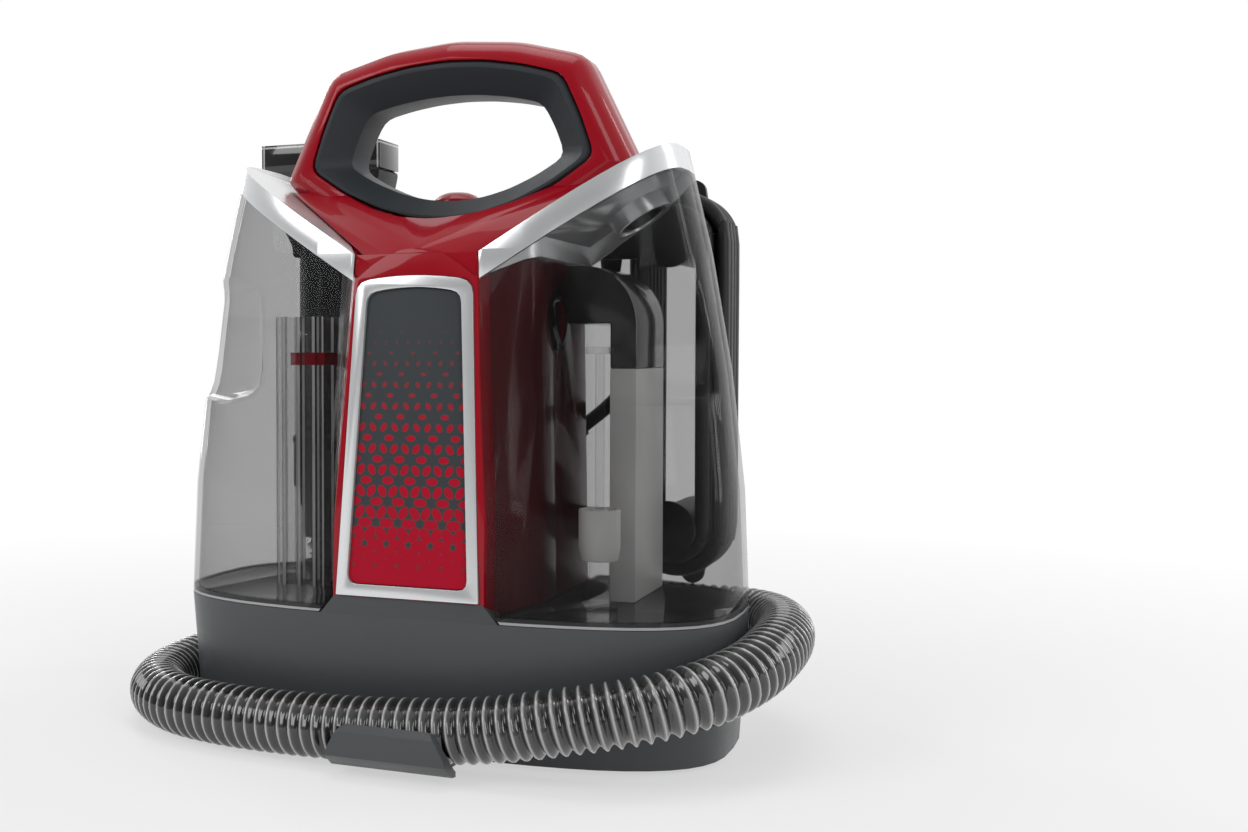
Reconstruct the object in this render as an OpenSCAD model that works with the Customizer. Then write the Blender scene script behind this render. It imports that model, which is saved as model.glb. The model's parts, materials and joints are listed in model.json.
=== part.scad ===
// Portable spot extractor: two clear tanks either side of an upright body with
// a loop handle, a ribbed hose round its base and a brush tool on its wand.
// Millimetres. Origin: floor under the centre of the base. Front faces -Y.

/* [Base] */
// Width of the base at its rim
base_w = 262; // [254:1:280]
// Depth of the base at its rim
base_d = 128; // [124:1:136]
// Height of the base rim above the floor
base_h = 60; // [58:1:64]
// How far each side of the base leans in towards the floor
base_draft = 4; // [2:0.5:6]
// Squareness of the plan outline, where 2 is an ellipse
squareness = 3.1; // [2.8:0.1:3.6]
// Height of the front step above the rim
step_rise = 8; // [6:0.5:10]
// Wall of the base and body mouldings
wall = 2.5; // [2:0.25:3]
// Height of the rubber feet
foot_h = 4; // [3:0.5:6]
// Diameter of the rubber feet
foot_d = 18; // [14:1:22]
// Distance of the feet in from each end of the rim
foot_in_x = 36; // [32:1:46]
// Distance of the feet in from the front and back of the rim
foot_in_y = 29; // [27:1:34]

/* [Body column] */
// Width of the column where it meets the base
column_w = 92; // [90:1:98]
// Width of the column at the shoulders
column_top_w = 87; // [86:1:90]
// Width of the column front at the base
nose_w = 70; // [68:1:76]
// Width of the column front at the shoulders
nose_top_w = 56; // [52:1:62]
// Height of the rear deck that carries the power button
deck_z = 243; // [240:1:246]
// Depth of the rear half of the column, from the centre
column_back = 50; // [48:1:52]

/* [Tanks] */
// Width across both tanks at the top of the shoulders
tanks_top_w = 213; // [205:1:220]
// How far the front leans back from the rim to the shoulders
front_lean = 14; // [10:1:18]
// Wall of the clear tanks
tank_wall = 2.2; // [1.8:0.1:3]
// Height of the silver cover along the top of each tank
cover_h = 10; // [8:0.5:12]
// Gap between a tank and the body
tank_gap = 1; // [0.8:0.1:1.5]
// Diameter of the filling and emptying necks
neck_d = 24; // [20:1:28]

/* [Handle] */
// Height of the shoulder valley at the column
valley_z = 215.5; // [212:0.5:219]
// Slope of the shoulders
shoulder_angle = 32; // [30:0.5:34]
// Width across the outer ends of the shoulders
shoulder_w = 174; // [168:1:180]
// Width across the top corners of the handle
handle_corner_w = 124; // [114:1:130]
// Height of the top corners of the handle
handle_corner_z = 304; // [300:1:308]
// Height of the crown of the handle
handle_top_z = 315; // [312:1:320]
// Depth of the handle from front to back
handle_depth = 36; // [32:1:40]
// Width of the hand opening at its lower corners
grip_w = 106; // [96:1:108]
// Width of the hand opening at its upper corners
grip_top_w = 85; // [76:1:86]
// Height of the lower corners of the hand opening
grip_low_z = 260; // [257:1:263]
// Height of the upper corners of the hand opening
grip_high_z = 284; // [282:1:287]
// Width of the soft lining round the hand opening
lining_w = 12; // [9:1:14]

/* [Front panel] */
// Width of the silver bezel at its foot
bezel_w = 66; // [62:1:70]
// Width of the silver bezel at its top
bezel_top_w = 54; // [50:1:58]
// Height of the silver bezel
bezel_h = 138; // [130:1:142]
// Width of the bezel's frame
bezel_rim = 5; // [4:0.5:7]

/* [Hose and wand] */
// Outer diameter of the suction hose over its ribs
hose_d = 27; // [25:0.5:28]
// Bore of the suction hose
hose_bore = 19; // [17:0.5:20]
// Ribs along the hose
hose_ribs = 140; // [100:5:150]
// Diameter of the hose cuffs
cuff_d = 31; // [30:0.5:32]
// Diameter of the wand's grip
wand_d = 34; // [32:1:36]
// Diameter of the wand's nose that the tool slides onto
spigot_d = 26; // [24:0.5:28]
// Width of the brush tool
tool_w = 72; // [66:1:78]
// Wall of the brush tool's neck
tool_wall = 2.6; // [2.2:0.2:3.4]

/* [Power cord] */
// Diameter of the power cord
cord_d = 7; // [6:0.25:7.25]
// Turns in the inner layer of the winding
turns_in = 6; // [3:1:6]
// Turns in the outer layer of the winding
turns_out = 4; // [2:1:4]
// Radius of the posts that the cord winds on
post_r = 10.5; // [9:0.5:11]

/* [Inside] */
// Diameter of the vacuum motor
motor_d = 70; // [64:1:72]
// Height of the vacuum motor
motor_h = 70; // [60:1:74]
// Diameter of the motor shaft
shaft_d = 6; // [5:0.5:8]
// Diameter of the fan
fan_d = 68; // [60:1:70]
// Outer diameter of the water tubes
tube_d = 8; // [6:0.5:9]
// Diameter of the casing screws
screw_d = 4; // [3:0.5:4.5]

/* [Hidden] */

$fn = 48;
eps = 0.01;
fit = 0.3;

// ---- Plan outline and the outer form that the base, body and tanks share ----
shoulder_z = valley_z + (shoulder_w - nose_top_w) / 2 * tan(shoulder_angle);
top_z = 262;
form_steps = 5;
outline_steps = 48;

function rise(z) = max(0, (z - base_h) / (shoulder_z - base_h));
function sink(z) = max(0, (base_h - z) / base_h);
function half_w(z) = base_w / 2 - (base_w - tanks_top_w) / 2 * pow(rise(z), 1.9)
    - base_draft * sink(z);
function half_d(z) = base_d / 2 - front_lean * pow(rise(z), 1.5) - base_draft * sink(z);
function power(v, n) = sign(v) * pow(abs(v), 2 / n);
function outline(a, b) = [for (i = [0 : outline_steps - 1]) let (t = 360 * i / outline_steps)
    [a * power(cos(t), squareness), b * power(sin(t), squareness)]];

// Outer form between two heights, drawn in by inset all round
module form(z0, z1, inset = 0, steps = form_steps) {
    hull()
        for (i = [0 : steps]) {
            z = z0 + (z1 - z0 - eps) * i / steps;
            translate([0, 0, z])
                linear_extrude(eps)
                    polygon(outline(half_w(z) - inset, half_d(z) - inset));
        }
}

// ---- Helpers ----
// Prism of an outline drawn in X and Z, from y0 back to y1
module along_y(y0, y1) {
    translate([0, y1, 0])
        rotate([90, 0, 0])
            linear_extrude(y1 - y0)
                children();
}

// Points along a bowed edge from a towards b, without b
function bow(a, b, lift, n) = let (d = b - a, m = [-d.y, d.x] / norm(d))
    [for (i = [0 : n - 1]) let (t = i / n) a + d * t + m * lift * 4 * t * (1 - t)];
// Polygon whose corners are eased by a curve that starts r from each corner
function toward(a, b, r) = a + (b - a) * min(r / norm(b - a), 0.45);
function eased(p, r, n = 5) = [for (i = [0 : len(p) - 1])
    let (c = p[i], a = toward(c, p[(i + len(p) - 1) % len(p)], r),
        b = toward(c, p[(i + 1) % len(p)], r))
    for (k = [0 : n]) let (t = k / n) a * (1 - t) * (1 - t) + c * 2 * t * (1 - t) + b * t * t];
module at_corners(dx, dy) {
    for (x = [-dx / 2, dx / 2], y = [-dy / 2, dy / 2])
        translate([x, y, 0]) children();
}

// ---- Column that stands between the tanks ----
nose_end = 25;
module column_plan(half_nose, half_side, front) {
    past = 8;
    ahead = half_nose - (half_side - half_nose) * past / (front - nose_end);
    polygon([[-ahead, -front - past], [ahead, -front - past], [half_side, -nose_end],
        [half_side, base_d], [-half_side, base_d], [-half_side, -nose_end]]);
}
// Column sides, grown outwards, from the rim to above the tanks
module column_hull(grow) {
    hull()
        for (z = [base_h - 1, top_z]) {
            t = (z - base_h) / (valley_z - base_h);
            translate([0, 0, z])
                linear_extrude(eps)
                    column_plan(nose_w / 2 - (nose_w - nose_top_w) / 2 * t + grow,
                        column_w / 2 - (column_w - column_top_w) / 2 * t + grow, half_d(z));
        }
}
// Region over the shoulder slope, raised by up
slope = tan(shoulder_angle);
function slope_z(x) = valley_z + (abs(x) - nose_top_w / 2) * slope;
module over_slope(up) {
    far = base_w;
    lift = up / cos(shoulder_angle);
    along_y(-base_d, base_d)
        polygon([[0, slope_z(0) + lift], [far, slope_z(far) + lift], [far, 3 * far],
            [-far, 3 * far], [-far, slope_z(far) + lift]]);
}

// ---- Base ----
foot_span_x = base_w - 2 * foot_in_x;
foot_span_y = base_d - 2 * foot_in_y;
screw_in_x = 23;
screw_in_y = 42;
screw_span_x = base_w - 2 * screw_in_x;
screw_span_y = base_d - 2 * screw_in_y;
boss_d = 10;
screw_head_d = screw_d * 2;
plate_t = 2.5;
plate_z = foot_h;
skirt_z = foot_h - 2.5;
deck_under = base_h - wall;
well_w = 72;
well_y0 = -44;
well_y1 = 44;
duct_x0 = 72;
duct_w = 12;
duct_y0 = -4;
duct_d = base_d / 2 - 14;
valve_x = -88;
valve_y = base_d / 2 - 34;
valve_d = 22;
port_x = -58;
port_z = deck_under - hose_bore / 2 - 3;

step_d = 10;
module step_face(grow) {
    offset(delta = grow)
        polygon([[-nose_w / 2 - 7, base_h - 1], [nose_w / 2 + 7, base_h - 1],
            [nose_w / 2 - 0.6, base_h + step_rise], [-nose_w / 2 + 0.6, base_h + step_rise]]);
}
module base_step() {
    intersection() {
        form(base_h - 1, base_h + step_rise, 0, 1);
        along_y(-base_d, -base_d / 2 + step_d) step_face(0);
    }
}

module base_housing() {
    color([0.19, 0.21, 0.23]) {
        difference() {
            union() {
                form(skirt_z, base_h, 0, 1);
                base_step();
            }
            form(skirt_z - 1, deck_under, wall, 1);
            translate([-well_w / 2, well_y0, deck_under - 1])
                cube([well_w, well_y1 - well_y0, wall + 2]);
            translate([duct_x0, duct_y0, deck_under - 1])
                cube([duct_w, duct_d, wall + 2]);
            translate([valve_x, valve_y, deck_under - 1])
                cylinder(d = valve_d, h = wall + 2);
            translate([port_x, base_d, port_z])
                rotate([90, 0, 0]) cylinder(d = hose_bore + 6, h = base_d);
        }
        difference() {
            at_corners(screw_span_x, screw_span_y)
                translate([0, 0, plate_z + plate_t])
                    cylinder(d = boss_d, h = deck_under - plate_z - plate_t + 0.5);
            at_corners(screw_span_x, screw_span_y)
                translate([0, 0, plate_z])
                    cylinder(d = screw_d, h = 24);
        }
    }
}

module bottom_plate() {
    color([0.12, 0.12, 0.13])
        difference() {
            form(plate_z, plate_z + plate_t, wall + fit, 1);
            at_corners(screw_span_x, screw_span_y)
                translate([0, 0, plate_z - 1]) cylinder(d = screw_d + 0.6, h = plate_t + 2);
            for (i = [-4 : 4])
                translate([i * 9 - 2, -16, plate_z - 1]) cube([4, 32, plate_t + 2]);
        }
}

module rubber_feet() {
    color([0.05, 0.05, 0.05])
        at_corners(foot_span_x, foot_span_y)
            rotate_extrude()
                polygon([[0, 0], [foot_d / 2 - 1, 0], [foot_d / 2, 1], [foot_d / 2, foot_h],
                    [0, foot_h]]);
}

module casing_screws() {
    color([0.7, 0.7, 0.72])
        at_corners(screw_span_x, screw_span_y)
            difference() {
                union() {
                    translate([0, 0, plate_z - 2]) cylinder(d = screw_head_d, h = 2);
                    translate([0, 0, plate_z - eps]) cylinder(d = screw_d - 0.1, h = 18);
                }
                translate([0, 0, plate_z - 2.5]) cylinder(d = screw_d, h = 1.7, $fn = 6);
            }
}

// Clip on the base front that the hose lies in
cradle_w = 54;
cradle_x = 6;
hose_front_y = -81;
hose_front_z = 17.5;
module hose_cradle() {
    r = hose_d / 2 + 1.2;
    lip = 4;
    color([0.13, 0.14, 0.15])
        intersection() {
            translate([cradle_x - cradle_w / 2, 0, 0])
                rotate([90, 0, 90])
                    linear_extrude(cradle_w)
                        difference() {
                            polygon([[-half_d(0) - 1, 0.8], [hose_front_y + 4, 0.8],
                                [hose_front_y - r + 3, 3.5], [hose_front_y - r - lip, 9],
                                [hose_front_y - r - lip - 0.5, 19.5], [hose_front_y - r - 1, 22],
                                [hose_front_y - r + 1, 21], [hose_front_y, hose_front_z],
                                [-half_d(hose_front_z), hose_front_z]]);
                            translate([hose_front_y, hose_front_z]) circle(r = r);
                            translate([hose_front_y - r + 1, hose_front_z]) square([2 * r - 1, 30]);
                        }
            translate([cradle_x, 0, 0])
                along_y(-base_d, 0)
                    polygon(eased([[-cradle_w / 2, -6], [cradle_w / 2, -6], [cradle_w / 2, 10],
                        [cradle_w / 2 - 7, 22.5], [7 - cradle_w / 2, 22.5], [-cradle_w / 2, 10]], 5, 4));
            translate([cradle_x, 0, -1])
                linear_extrude(40)
                    polygon([[-cradle_w / 2, -base_d], [cradle_w / 2, -base_d],
                        [cradle_w / 2, hose_front_y - 8], [cradle_w / 3, hose_front_y + 4],
                        [cradle_w / 3, 0], [-cradle_w / 3, 0], [-cradle_w / 3, hose_front_y + 4],
                        [-cradle_w / 2, hose_front_y - 8]]);
        }
}

// ---- Body shells ----
handle_y0 = -handle_depth / 2 - 1;
handle_y1 = handle_depth / 2 - 1;
function upper_outline() = eased(concat(
    [[-nose_top_w / 2, valley_z], [nose_top_w / 2, valley_z], [shoulder_w / 2, shoulder_z]],
    bow([handle_corner_w / 2, handle_corner_z], [-handle_corner_w / 2, handle_corner_z],
        handle_corner_z - handle_top_z, 4),
    [[-handle_corner_w / 2, handle_corner_z], [-shoulder_w / 2, shoulder_z]]), 6, 3);
grip_sag = 18;
grip_crown = 6;
// Hand opening, grown outwards by the width of the lining
function grip_outline(grow) = let (w = grip_w / 2 + grow * 1.35, t = grip_top_w / 2 + grow)
    eased(concat(
        bow([w, grip_low_z - grow * 0.15], [t, grip_high_z + grow * 0.9], -1, 2),
        bow([t, grip_high_z + grow * 0.9], [-t, grip_high_z + grow * 0.9],
            -grip_crown * (1 + grow / 20), 6),
        bow([-t, grip_high_z + grow * 0.9], [-w, grip_low_z - grow * 0.15], -1, 2),
        bow([-w, grip_low_z - grow * 0.15], [w, grip_low_z - grow * 0.15],
            -grip_sag - grow * 0.7, 8)), 5, 3);

lining_slope = 9;
module handle_block() {
    hull()
        for (s = [[0, 9], [5, 2.5], [12, 0]])
            along_y(handle_y0 + s[0], handle_y1 - s[0])
                offset(delta = -s[1]) polygon(upper_outline());
}
module hood_block() {
    front = -half_d(valley_z) + 1;
    intersection() {
        hull() {
            along_y(front, front + eps)
                polygon(concat([[1 - nose_top_w / 2, arch_low - 4], [nose_top_w / 2 - 1, arch_low - 4]],
                    hood_arch(), [[1 - nose_top_w / 2, arch_low]]));
            along_y(handle_y0 + 3, handle_y0 + 3 + eps)
                polygon([[-nose_top_w / 2, valley_z], [nose_top_w / 2, valley_z],
                    [shoulder_w / 2 - 8, shoulder_z - 4], [-shoulder_w / 2 + 8, shoulder_z - 4]]);
        }
        over_slope(0.6);
    }
}
// Arch over the front panel
arch_low = valley_z - 10;
function hood_arch() = bow([nose_top_w / 2 - 1, arch_low], [1 - nose_top_w / 2, arch_low], -12.5, 8);
module column_block() {
    difference() {
        intersection() {
            form(base_h, valley_z);
            column_hull(0);
            translate([-column_w, -base_d, base_h]) cube([2 * column_w, base_d + column_back, 200]);
        }
        along_y(-base_d, 1 - half_d(valley_z))
            difference() {
                translate([-column_w / 2, arch_low]) square([column_w, 20]);
                polygon(concat(hood_arch(), [[1 - nose_top_w / 2, arch_low]]));
            }
    }
    intersection() {
        form(base_h + 1, shoulder_z);
        column_hull(0);
        translate([-column_w, -base_d, base_h]) cube([2 * column_w, base_d + column_back, 200]);
        for (side = [-1, 1])
            along_y(-base_d, base_d)
                polygon([[side * nose_top_w / 2, valley_z - 2], [side * column_w / 2, valley_z - 2],
                    [side * column_w / 2, slope_z(column_w / 2) - 0.6],
                    [side * nose_top_w / 2, valley_z - 0.6]]);
    }
}
tower_w = column_top_w - 2;
tower_y0 = handle_y1 - 2;
module tower(inset) {
    top = deck_z - inset;
    r = inset > 0 ? 2 : 4;
    translate([0, 0, valley_z - 20])
        linear_extrude(top - valley_z + 20)
            polygon(eased([[-tower_w / 2 + inset, tower_y0 + inset], [tower_w / 2 - inset, tower_y0 + inset],
                [tower_w / 2 - inset, column_back - inset],
                [-tower_w / 2 + inset, column_back - inset]], r, 4));
}
button_x = -16;
button_y = 34;
button_d = 24;
cover_x = 34;
cover_z0 = base_h + 8;
air_port_y = 8;
air_port_z = 188;
air_port_d = 22;

module body_solid() {
    difference() {
        union() {
            difference() {
                column_block();
                along_y(-base_d, -base_d / 2 + step_d) step_face(0);
            }
            hood_block();
            handle_block();
            tower(0);
        }
        intersection() {
            form(base_h - 1, valley_z - wall, wall);
            column_hull(-wall);
            translate([-column_w, -base_d / 2 + 9, 0])
                cube([2 * column_w, base_d / 2 - 9 + column_back - wall, 300]);
        }
        intersection() {
            tower(wall);
            translate([-column_w, handle_y1 + 1 + wall, 0]) cube([2 * column_w, base_d, 300]);
        }
        along_y(-base_d, handle_y1 + 1 + fit) polygon(grip_outline(lining_w));
        bezel_place() bezel_plate(fit, bezel_t + 10);
        translate([button_x, button_y, deck_z - 10]) cylinder(d = button_d + 1, h = 20);
        translate([-column_w, air_port_y, air_port_z])
            rotate([0, 90, 0]) translate([0, 0, column_w]) cylinder(d = air_port_d, h = column_w);
    }
}
module half_space(back) {
    translate([-base_w, back ? 0 : -base_d, 0]) cube([2 * base_w, base_d, 400]);
}
module front_shell() {
    color([0.62, 0.03, 0.06])
        intersection() {
            body_solid();
            half_space(false);
        }
}
module rear_shell() {
    color([0.55, 0.03, 0.05])
        difference() {
            intersection() {
                body_solid();
                half_space(true);
            }
            translate([-cover_x + 4, column_back - wall - 1, cover_z0 + 4])
                cube([2 * cover_x - 8, wall + 2, deck_z - cover_z0 - 24]);
        }
}
cover_t = 5;
module rear_cover() {
    color([0.15, 0.16, 0.17])
        difference() {
            along_y(column_back, column_back + cover_t)
                polygon(eased([[-cover_x, cover_z0], [cover_x, cover_z0],
                    [cover_x, deck_z - 14], [-cover_x, deck_z - 14]], 10, 4));
            for (i = [0 : 6])
                translate([-18, column_back - 1, cover_z0 + 14 + i * 8])
                    cube([36, cover_t + 2, 4]);
        }
}
module grip_lining() {
    color([0.22, 0.24, 0.25])
        difference() {
            hull() {
                along_y(handle_y0 - 1, handle_y0)
                    polygon(grip_outline(lining_w - 1.5));
                along_y(handle_y0 + 2, handle_y1 - 1)
                    polygon(grip_outline(lining_w - fit));
                along_y(handle_y1, handle_y1 + 1)
                    polygon(grip_outline(lining_w - 1.5));
            }
            along_y(-base_d, base_d) polygon(grip_outline(0));
            hull() {
                along_y(handle_y0 - 2, handle_y0 - 1 + eps) polygon(grip_outline(lining_w - 3));
                along_y(handle_y0 + lining_slope, handle_y0 + lining_slope + eps)
                    polygon(grip_outline(0));
            }
            hull() {
                along_y(handle_y1 + 1 - eps, handle_y1 + 2) polygon(grip_outline(lining_w - 3));
                along_y(handle_y1 - lining_slope, handle_y1 - lining_slope + eps)
                    polygon(grip_outline(0));
            }
        }
}

// ---- Front panel ----
bezel_t = 5;
bezel_foot = base_h + step_rise + 0.5;
bezel_foot_y = -half_d(bezel_foot) - 1;
bezel_lean = atan((half_d(bezel_foot) - half_d(bezel_foot + bezel_h)) / bezel_h);
module bezel_place() {
    translate([0, bezel_foot_y, bezel_foot])
        rotate([-bezel_lean, 0, 0])
            children();
}
bezel_crown = 2.5;
function bezel_foot_corners(w, in) = in > 1 ? [[-w, in], [w, in]]
    : [[-w + 0.05, 1], [-w, 0], [1 - w, 0], [w - 1, 0], [w, 0], [w - 0.05, 1]];
function bezel_outline(in) = let (t = bezel_top_w / 2 - in, top = bezel_h - in - bezel_crown)
    eased(concat(bezel_foot_corners(bezel_w / 2 - in, in),
        bow([t, top], [-t, top], -bezel_crown, 4), [[-t, top]]), in > 1 ? 4.5 : 6, 3);
module bezel_plate(grow, thick) {
    along_y(-1, thick - 1)
        polygon([for (p = bezel_outline(0)) p + [sign(p.x) * grow, p.y > bezel_h / 2 ? grow : 0]]);
}
module front_bezel() {
    color([0.8, 0.81, 0.82])
        bezel_place()
            difference() {
                along_y(0, bezel_t) polygon(bezel_outline(0));
                along_y(-1, bezel_t + 1) polygon(bezel_outline(bezel_rim));
            }
}
module front_panel() {
    color([0.3, 0.05, 0.07])
        bezel_place()
            along_y(1.5, bezel_t + 3) polygon(bezel_outline(bezel_rim + fit));
}

// ---- Power button ----
button_travel = 3;
button_under = 6;
switch_gap = 1;
module power_button() {
    color([0.7, 0.1, 0.1])
        translate([button_x, button_y, 0])
            rotate_extrude()
                polygon([[0, deck_z - button_under], [button_d / 2 + 1.2, deck_z - button_under],
                    [button_d / 2 + 1.2, deck_z - wall - fit], [button_d / 2, deck_z - wall - fit],
                    [button_d / 2, deck_z + 4], [button_d / 2 - 3, deck_z + 6.5],
                    [button_d / 4, deck_z + 7.8], [0, deck_z + 8]]);
}
module switch_module() {
    color([0.1, 0.1, 0.1])
        translate([button_x, button_y, 0]) {
            translate([-11, -9, deck_z - 36])
                cube([22, 18, 36 - button_under - button_travel - switch_gap]);
            translate([-18.5, -9, deck_z - 36]) cube([37, 18, 5]);
            for (x = [-18.5, 14.5]) translate([x, -9, deck_z - 36]) cube([4, 18, 36 - wall]);
        }
}

// ---- Vacuum motor ----
cradle_z = base_h + 10;
damper_t = 3;
motor_z = cradle_z + 4 + damper_t;
motor_y = 5;
fan_case_h = 26;
fan_case_z = motor_z + motor_h;
fan_case_d = fan_d + 8;
module at_motor(z) { translate([0, motor_y, z]) children(); }
module motor_cradle() {
    color([0.16, 0.16, 0.17])
        difference() {
            union() {
                at_motor(cradle_z) cylinder(d = motor_d + 4, h = 4);
                at_motor(base_h)
                    at_corners(motor_d * 0.98, motor_d * 0.55)
                        translate([-5, -5, 0]) cube([10, 10, cradle_z - base_h + 1]);
            }
            at_motor(cradle_z - 1) cylinder(d = motor_d - 24, h = 6);
        }
}
module damper(z) {
    color([0.06, 0.06, 0.06])
        difference() {
            at_motor(z) cylinder(d = motor_d, h = damper_t);
            at_motor(z - 1) cylinder(d = motor_d - 16, h = damper_t + 2);
        }
}
module lower_damper() { damper(cradle_z + 4); }
module upper_damper() { damper(fan_case_z + fan_case_h); }
module vacuum_motor() {
    color([0.45, 0.46, 0.48])
        difference() {
            at_motor(motor_z) cylinder(d = motor_d, h = motor_h);
            for (a = [0 : 45 : 315])
                at_motor(motor_z + 14)
                    rotate([0, 0, a]) translate([motor_d / 2 - 3, -5, 0]) cube([8, 10, 40]);
            at_motor(motor_z + 10) cylinder(d = shaft_d + 0.1, h = motor_h);
        }
}
module fan_housing() {
    color([0.14, 0.14, 0.15])
        difference() {
            at_motor(fan_case_z) cylinder(d = fan_case_d, h = fan_case_h);
            at_motor(fan_case_z + wall) cylinder(d = fan_case_d - 2 * wall, h = fan_case_h - 2 * wall);
            at_motor(fan_case_z - 1) cylinder(d = shaft_d + 3, h = 5);
            at_motor(fan_case_z + fan_case_h - 4) cylinder(d = fan_d * 0.45, h = 6);
            for (a = [0 : 30 : 330])
                at_motor(fan_case_z + 7)
                    rotate([0, 0, a]) translate([fan_case_d / 2 - 5, -5, 0]) cube([10, 10, 11]);
        }
}
module motor_shaft() {
    color([0.75, 0.76, 0.78])
        at_motor(motor_z + 11) cylinder(d = shaft_d, h = motor_h - 11 + 18);
}
module fan() {
    blades = 9;
    color([0.3, 0.31, 0.33])
        difference() {
            union() {
                at_motor(fan_case_z + 5) cylinder(d = fan_d - 1, h = 1.6);
                at_motor(fan_case_z + 5) cylinder(d = shaft_d + 9, h = 12);
                for (i = [0 : blades - 1])
                    at_motor(fan_case_z + 5)
                        rotate([0, 0, i * 360 / blades]) translate([6, 2, 0])
                            rotate([0, 0, -24]) cube([fan_d * 0.4, 1.4, 12]);
            }
            at_motor(fan_case_z) cylinder(d = shaft_d + 0.04, h = 30);
        }
}
module motor_clamp() {
    z = fan_case_z + fan_case_h + damper_t;
    color([0.16, 0.16, 0.17])
        difference() {
            intersection() {
                at_motor(z) translate([-column_w / 2, -20, 0]) cube([column_w, 40, 4]);
                column_hull(-wall - 0.1);
            }
            at_motor(z - 1) cylinder(d = fan_d * 0.4, h = 6);
        }
}

// ---- Water parts inside the base ----
floor_z = plate_z + plate_t;
pump_x = -70;
pump_y = -22;
module water_pump() {
    color([0.2, 0.21, 0.24])
        translate([pump_x, pump_y, floor_z + 5]) {
            translate([-30, 0, 14]) rotate([0, 90, 0]) cylinder(d = 28, h = 34);
            translate([4, -15, 0]) cube([22, 30, 30]);
            translate([26, -7, 15]) rotate([0, 90, 0]) cylinder(d = tube_d, h = 9);
            translate([15, 15, 15]) rotate([-90, 0, 0]) cylinder(d = tube_d, h = 9);
        }
}
module pump_mount() {
    color([0.08, 0.08, 0.08])
        translate([pump_x, pump_y, floor_z])
            difference() {
                translate([-28, -17, 0]) cube([54, 34, 12]);
                translate([-31, 0, 19]) rotate([0, 90, 0]) cylinder(d = 28 + fit, h = 35);
                translate([3.8, -18, 5]) cube([23, 36, 20]);
            }
}
heater_x = 8;
heater_y = -24;
module water_heater() {
    color([0.72, 0.72, 0.74])
        translate([heater_x, heater_y, floor_z + 6]) {
            translate([-18, -14, 0]) cube([56, 28, 24]);
            for (y = [-7, 7]) translate([-27, y, 12]) rotate([0, 90, 0]) cylinder(d = tube_d, h = 10);
            translate([0, 0, 23]) cylinder(d = 14, h = 7);
        }
}
module heater_brackets() {
    color([0.6, 0.61, 0.63])
        for (x = [-12, 26])
            translate([heater_x + x, heater_y, floor_z])
                difference() {
                    translate([0, -20, 0]) cube([6, 40, 20]);
                    translate([-1, -14 - fit, 6]) cube([8, 28 + 2 * fit, 20]);
                    translate([-1, -10, 2]) cube([8, 20, 5]);
                }
}
module water_tube(points) { solid_tube(smooth_path(points, 3), tube_d / 2, 6); }
module water_tubes() {
    out = [pump_x + 35 + fit, pump_y - 7, floor_z + 20];
    inlet = [pump_x + 15, pump_y + 24 + fit, floor_z + 20];
    hot_in = [heater_x - 27 - fit, heater_y - 7, floor_z + 18];
    hot_out = [heater_x - 27 - fit, heater_y + 7, floor_z + 18];
    low = floor_z + tube_d / 2 + fit;
    color([0.75, 0.78, 0.8]) {
        water_tube([out, out + [4, 0, 0], hot_in - [4, 0, 0], hot_in]);
        water_tube([inlet, inlet + [0, 4, 0], inlet + [-2, 10, -0.5], inlet + [-8, 19, -2],
            [valve_x + 13, valve_y - 4, floor_z + 18], [valve_x + 3, valve_y, floor_z + 23],
            [valve_x, valve_y, floor_z + 32], [valve_x, valve_y, deck_under - 14],
            [valve_x, valve_y, deck_under - 10 - fit]]);
        water_tube([hot_out, hot_out - [4, 0, 0], hot_out + [-9, 3, -2], hot_out + [-15, 12, -7],
            hot_out + [-19, 27, -12], [port_x + 14, duct_run_y - 10, low],
            [port_x + 5, duct_run_y + 5, low], [port_x + 2, duct_run_y + 14, low]]);
    }
}
// Seat on the base deck that opens the clean tank's valve
module tank_valve_seat() {
    color([0.1, 0.1, 0.1])
        translate([valve_x, valve_y, 0])
            difference() {
                union() {
                    translate([0, 0, deck_under - 10]) cylinder(d = valve_d - fit, h = wall + 10);
                    translate([0, 0, deck_under - 4]) cylinder(d = valve_d + 8, h = 4 - fit);
                    translate([0, 0, base_h - 1]) cylinder(d = 5, h = 3);
                }
                for (a = [0 : 90 : 270])
                    rotate([0, 0, a]) translate([5, 0, deck_under - 11]) cylinder(d = 3, h = wall + 12);
            }
}

// ---- Suction path ----
duct_run_y = 38;
module suction_duct() {
    side = hose_bore + 7;
    x0 = port_x - side / 2;
    x1 = duct_x0 + duct_w + 3;
    z0 = port_z - side / 2;
    back = half_d(port_z) - wall - fit;
    color([0.12, 0.12, 0.13])
        difference() {
            union() {
                translate([x0, duct_run_y - side / 2, z0]) cube([x1 - x0, side, side - 1]);
                translate([duct_x0 - 3, duct_y0 - 3, z0])
                    cube([duct_w + 6, duct_run_y - duct_y0, side - 1]);
                translate([duct_x0 + fit, duct_y0 + fit, port_z])
                    cube([duct_w - 2 * fit, duct_d - 2 * fit, base_h - port_z]);
                translate([port_x, duct_run_y, port_z]) rotate([-90, 0, 0])
                    cylinder(d = hose_bore + 5, h = back - duct_run_y);
            }
            translate([port_x, duct_run_y, port_z]) rotate([0, 90, 0])
                cylinder(d = hose_bore, h = x1 - port_x - 4);
            translate([duct_x0 + 2, duct_y0 + 2, port_z - 9])
                cube([duct_w - 4, duct_d - 6, base_h]);
            translate([port_x, duct_run_y, port_z]) rotate([-90, 0, 0])
                cylinder(d = hose_bore, h = base_d);
        }
}
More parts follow.
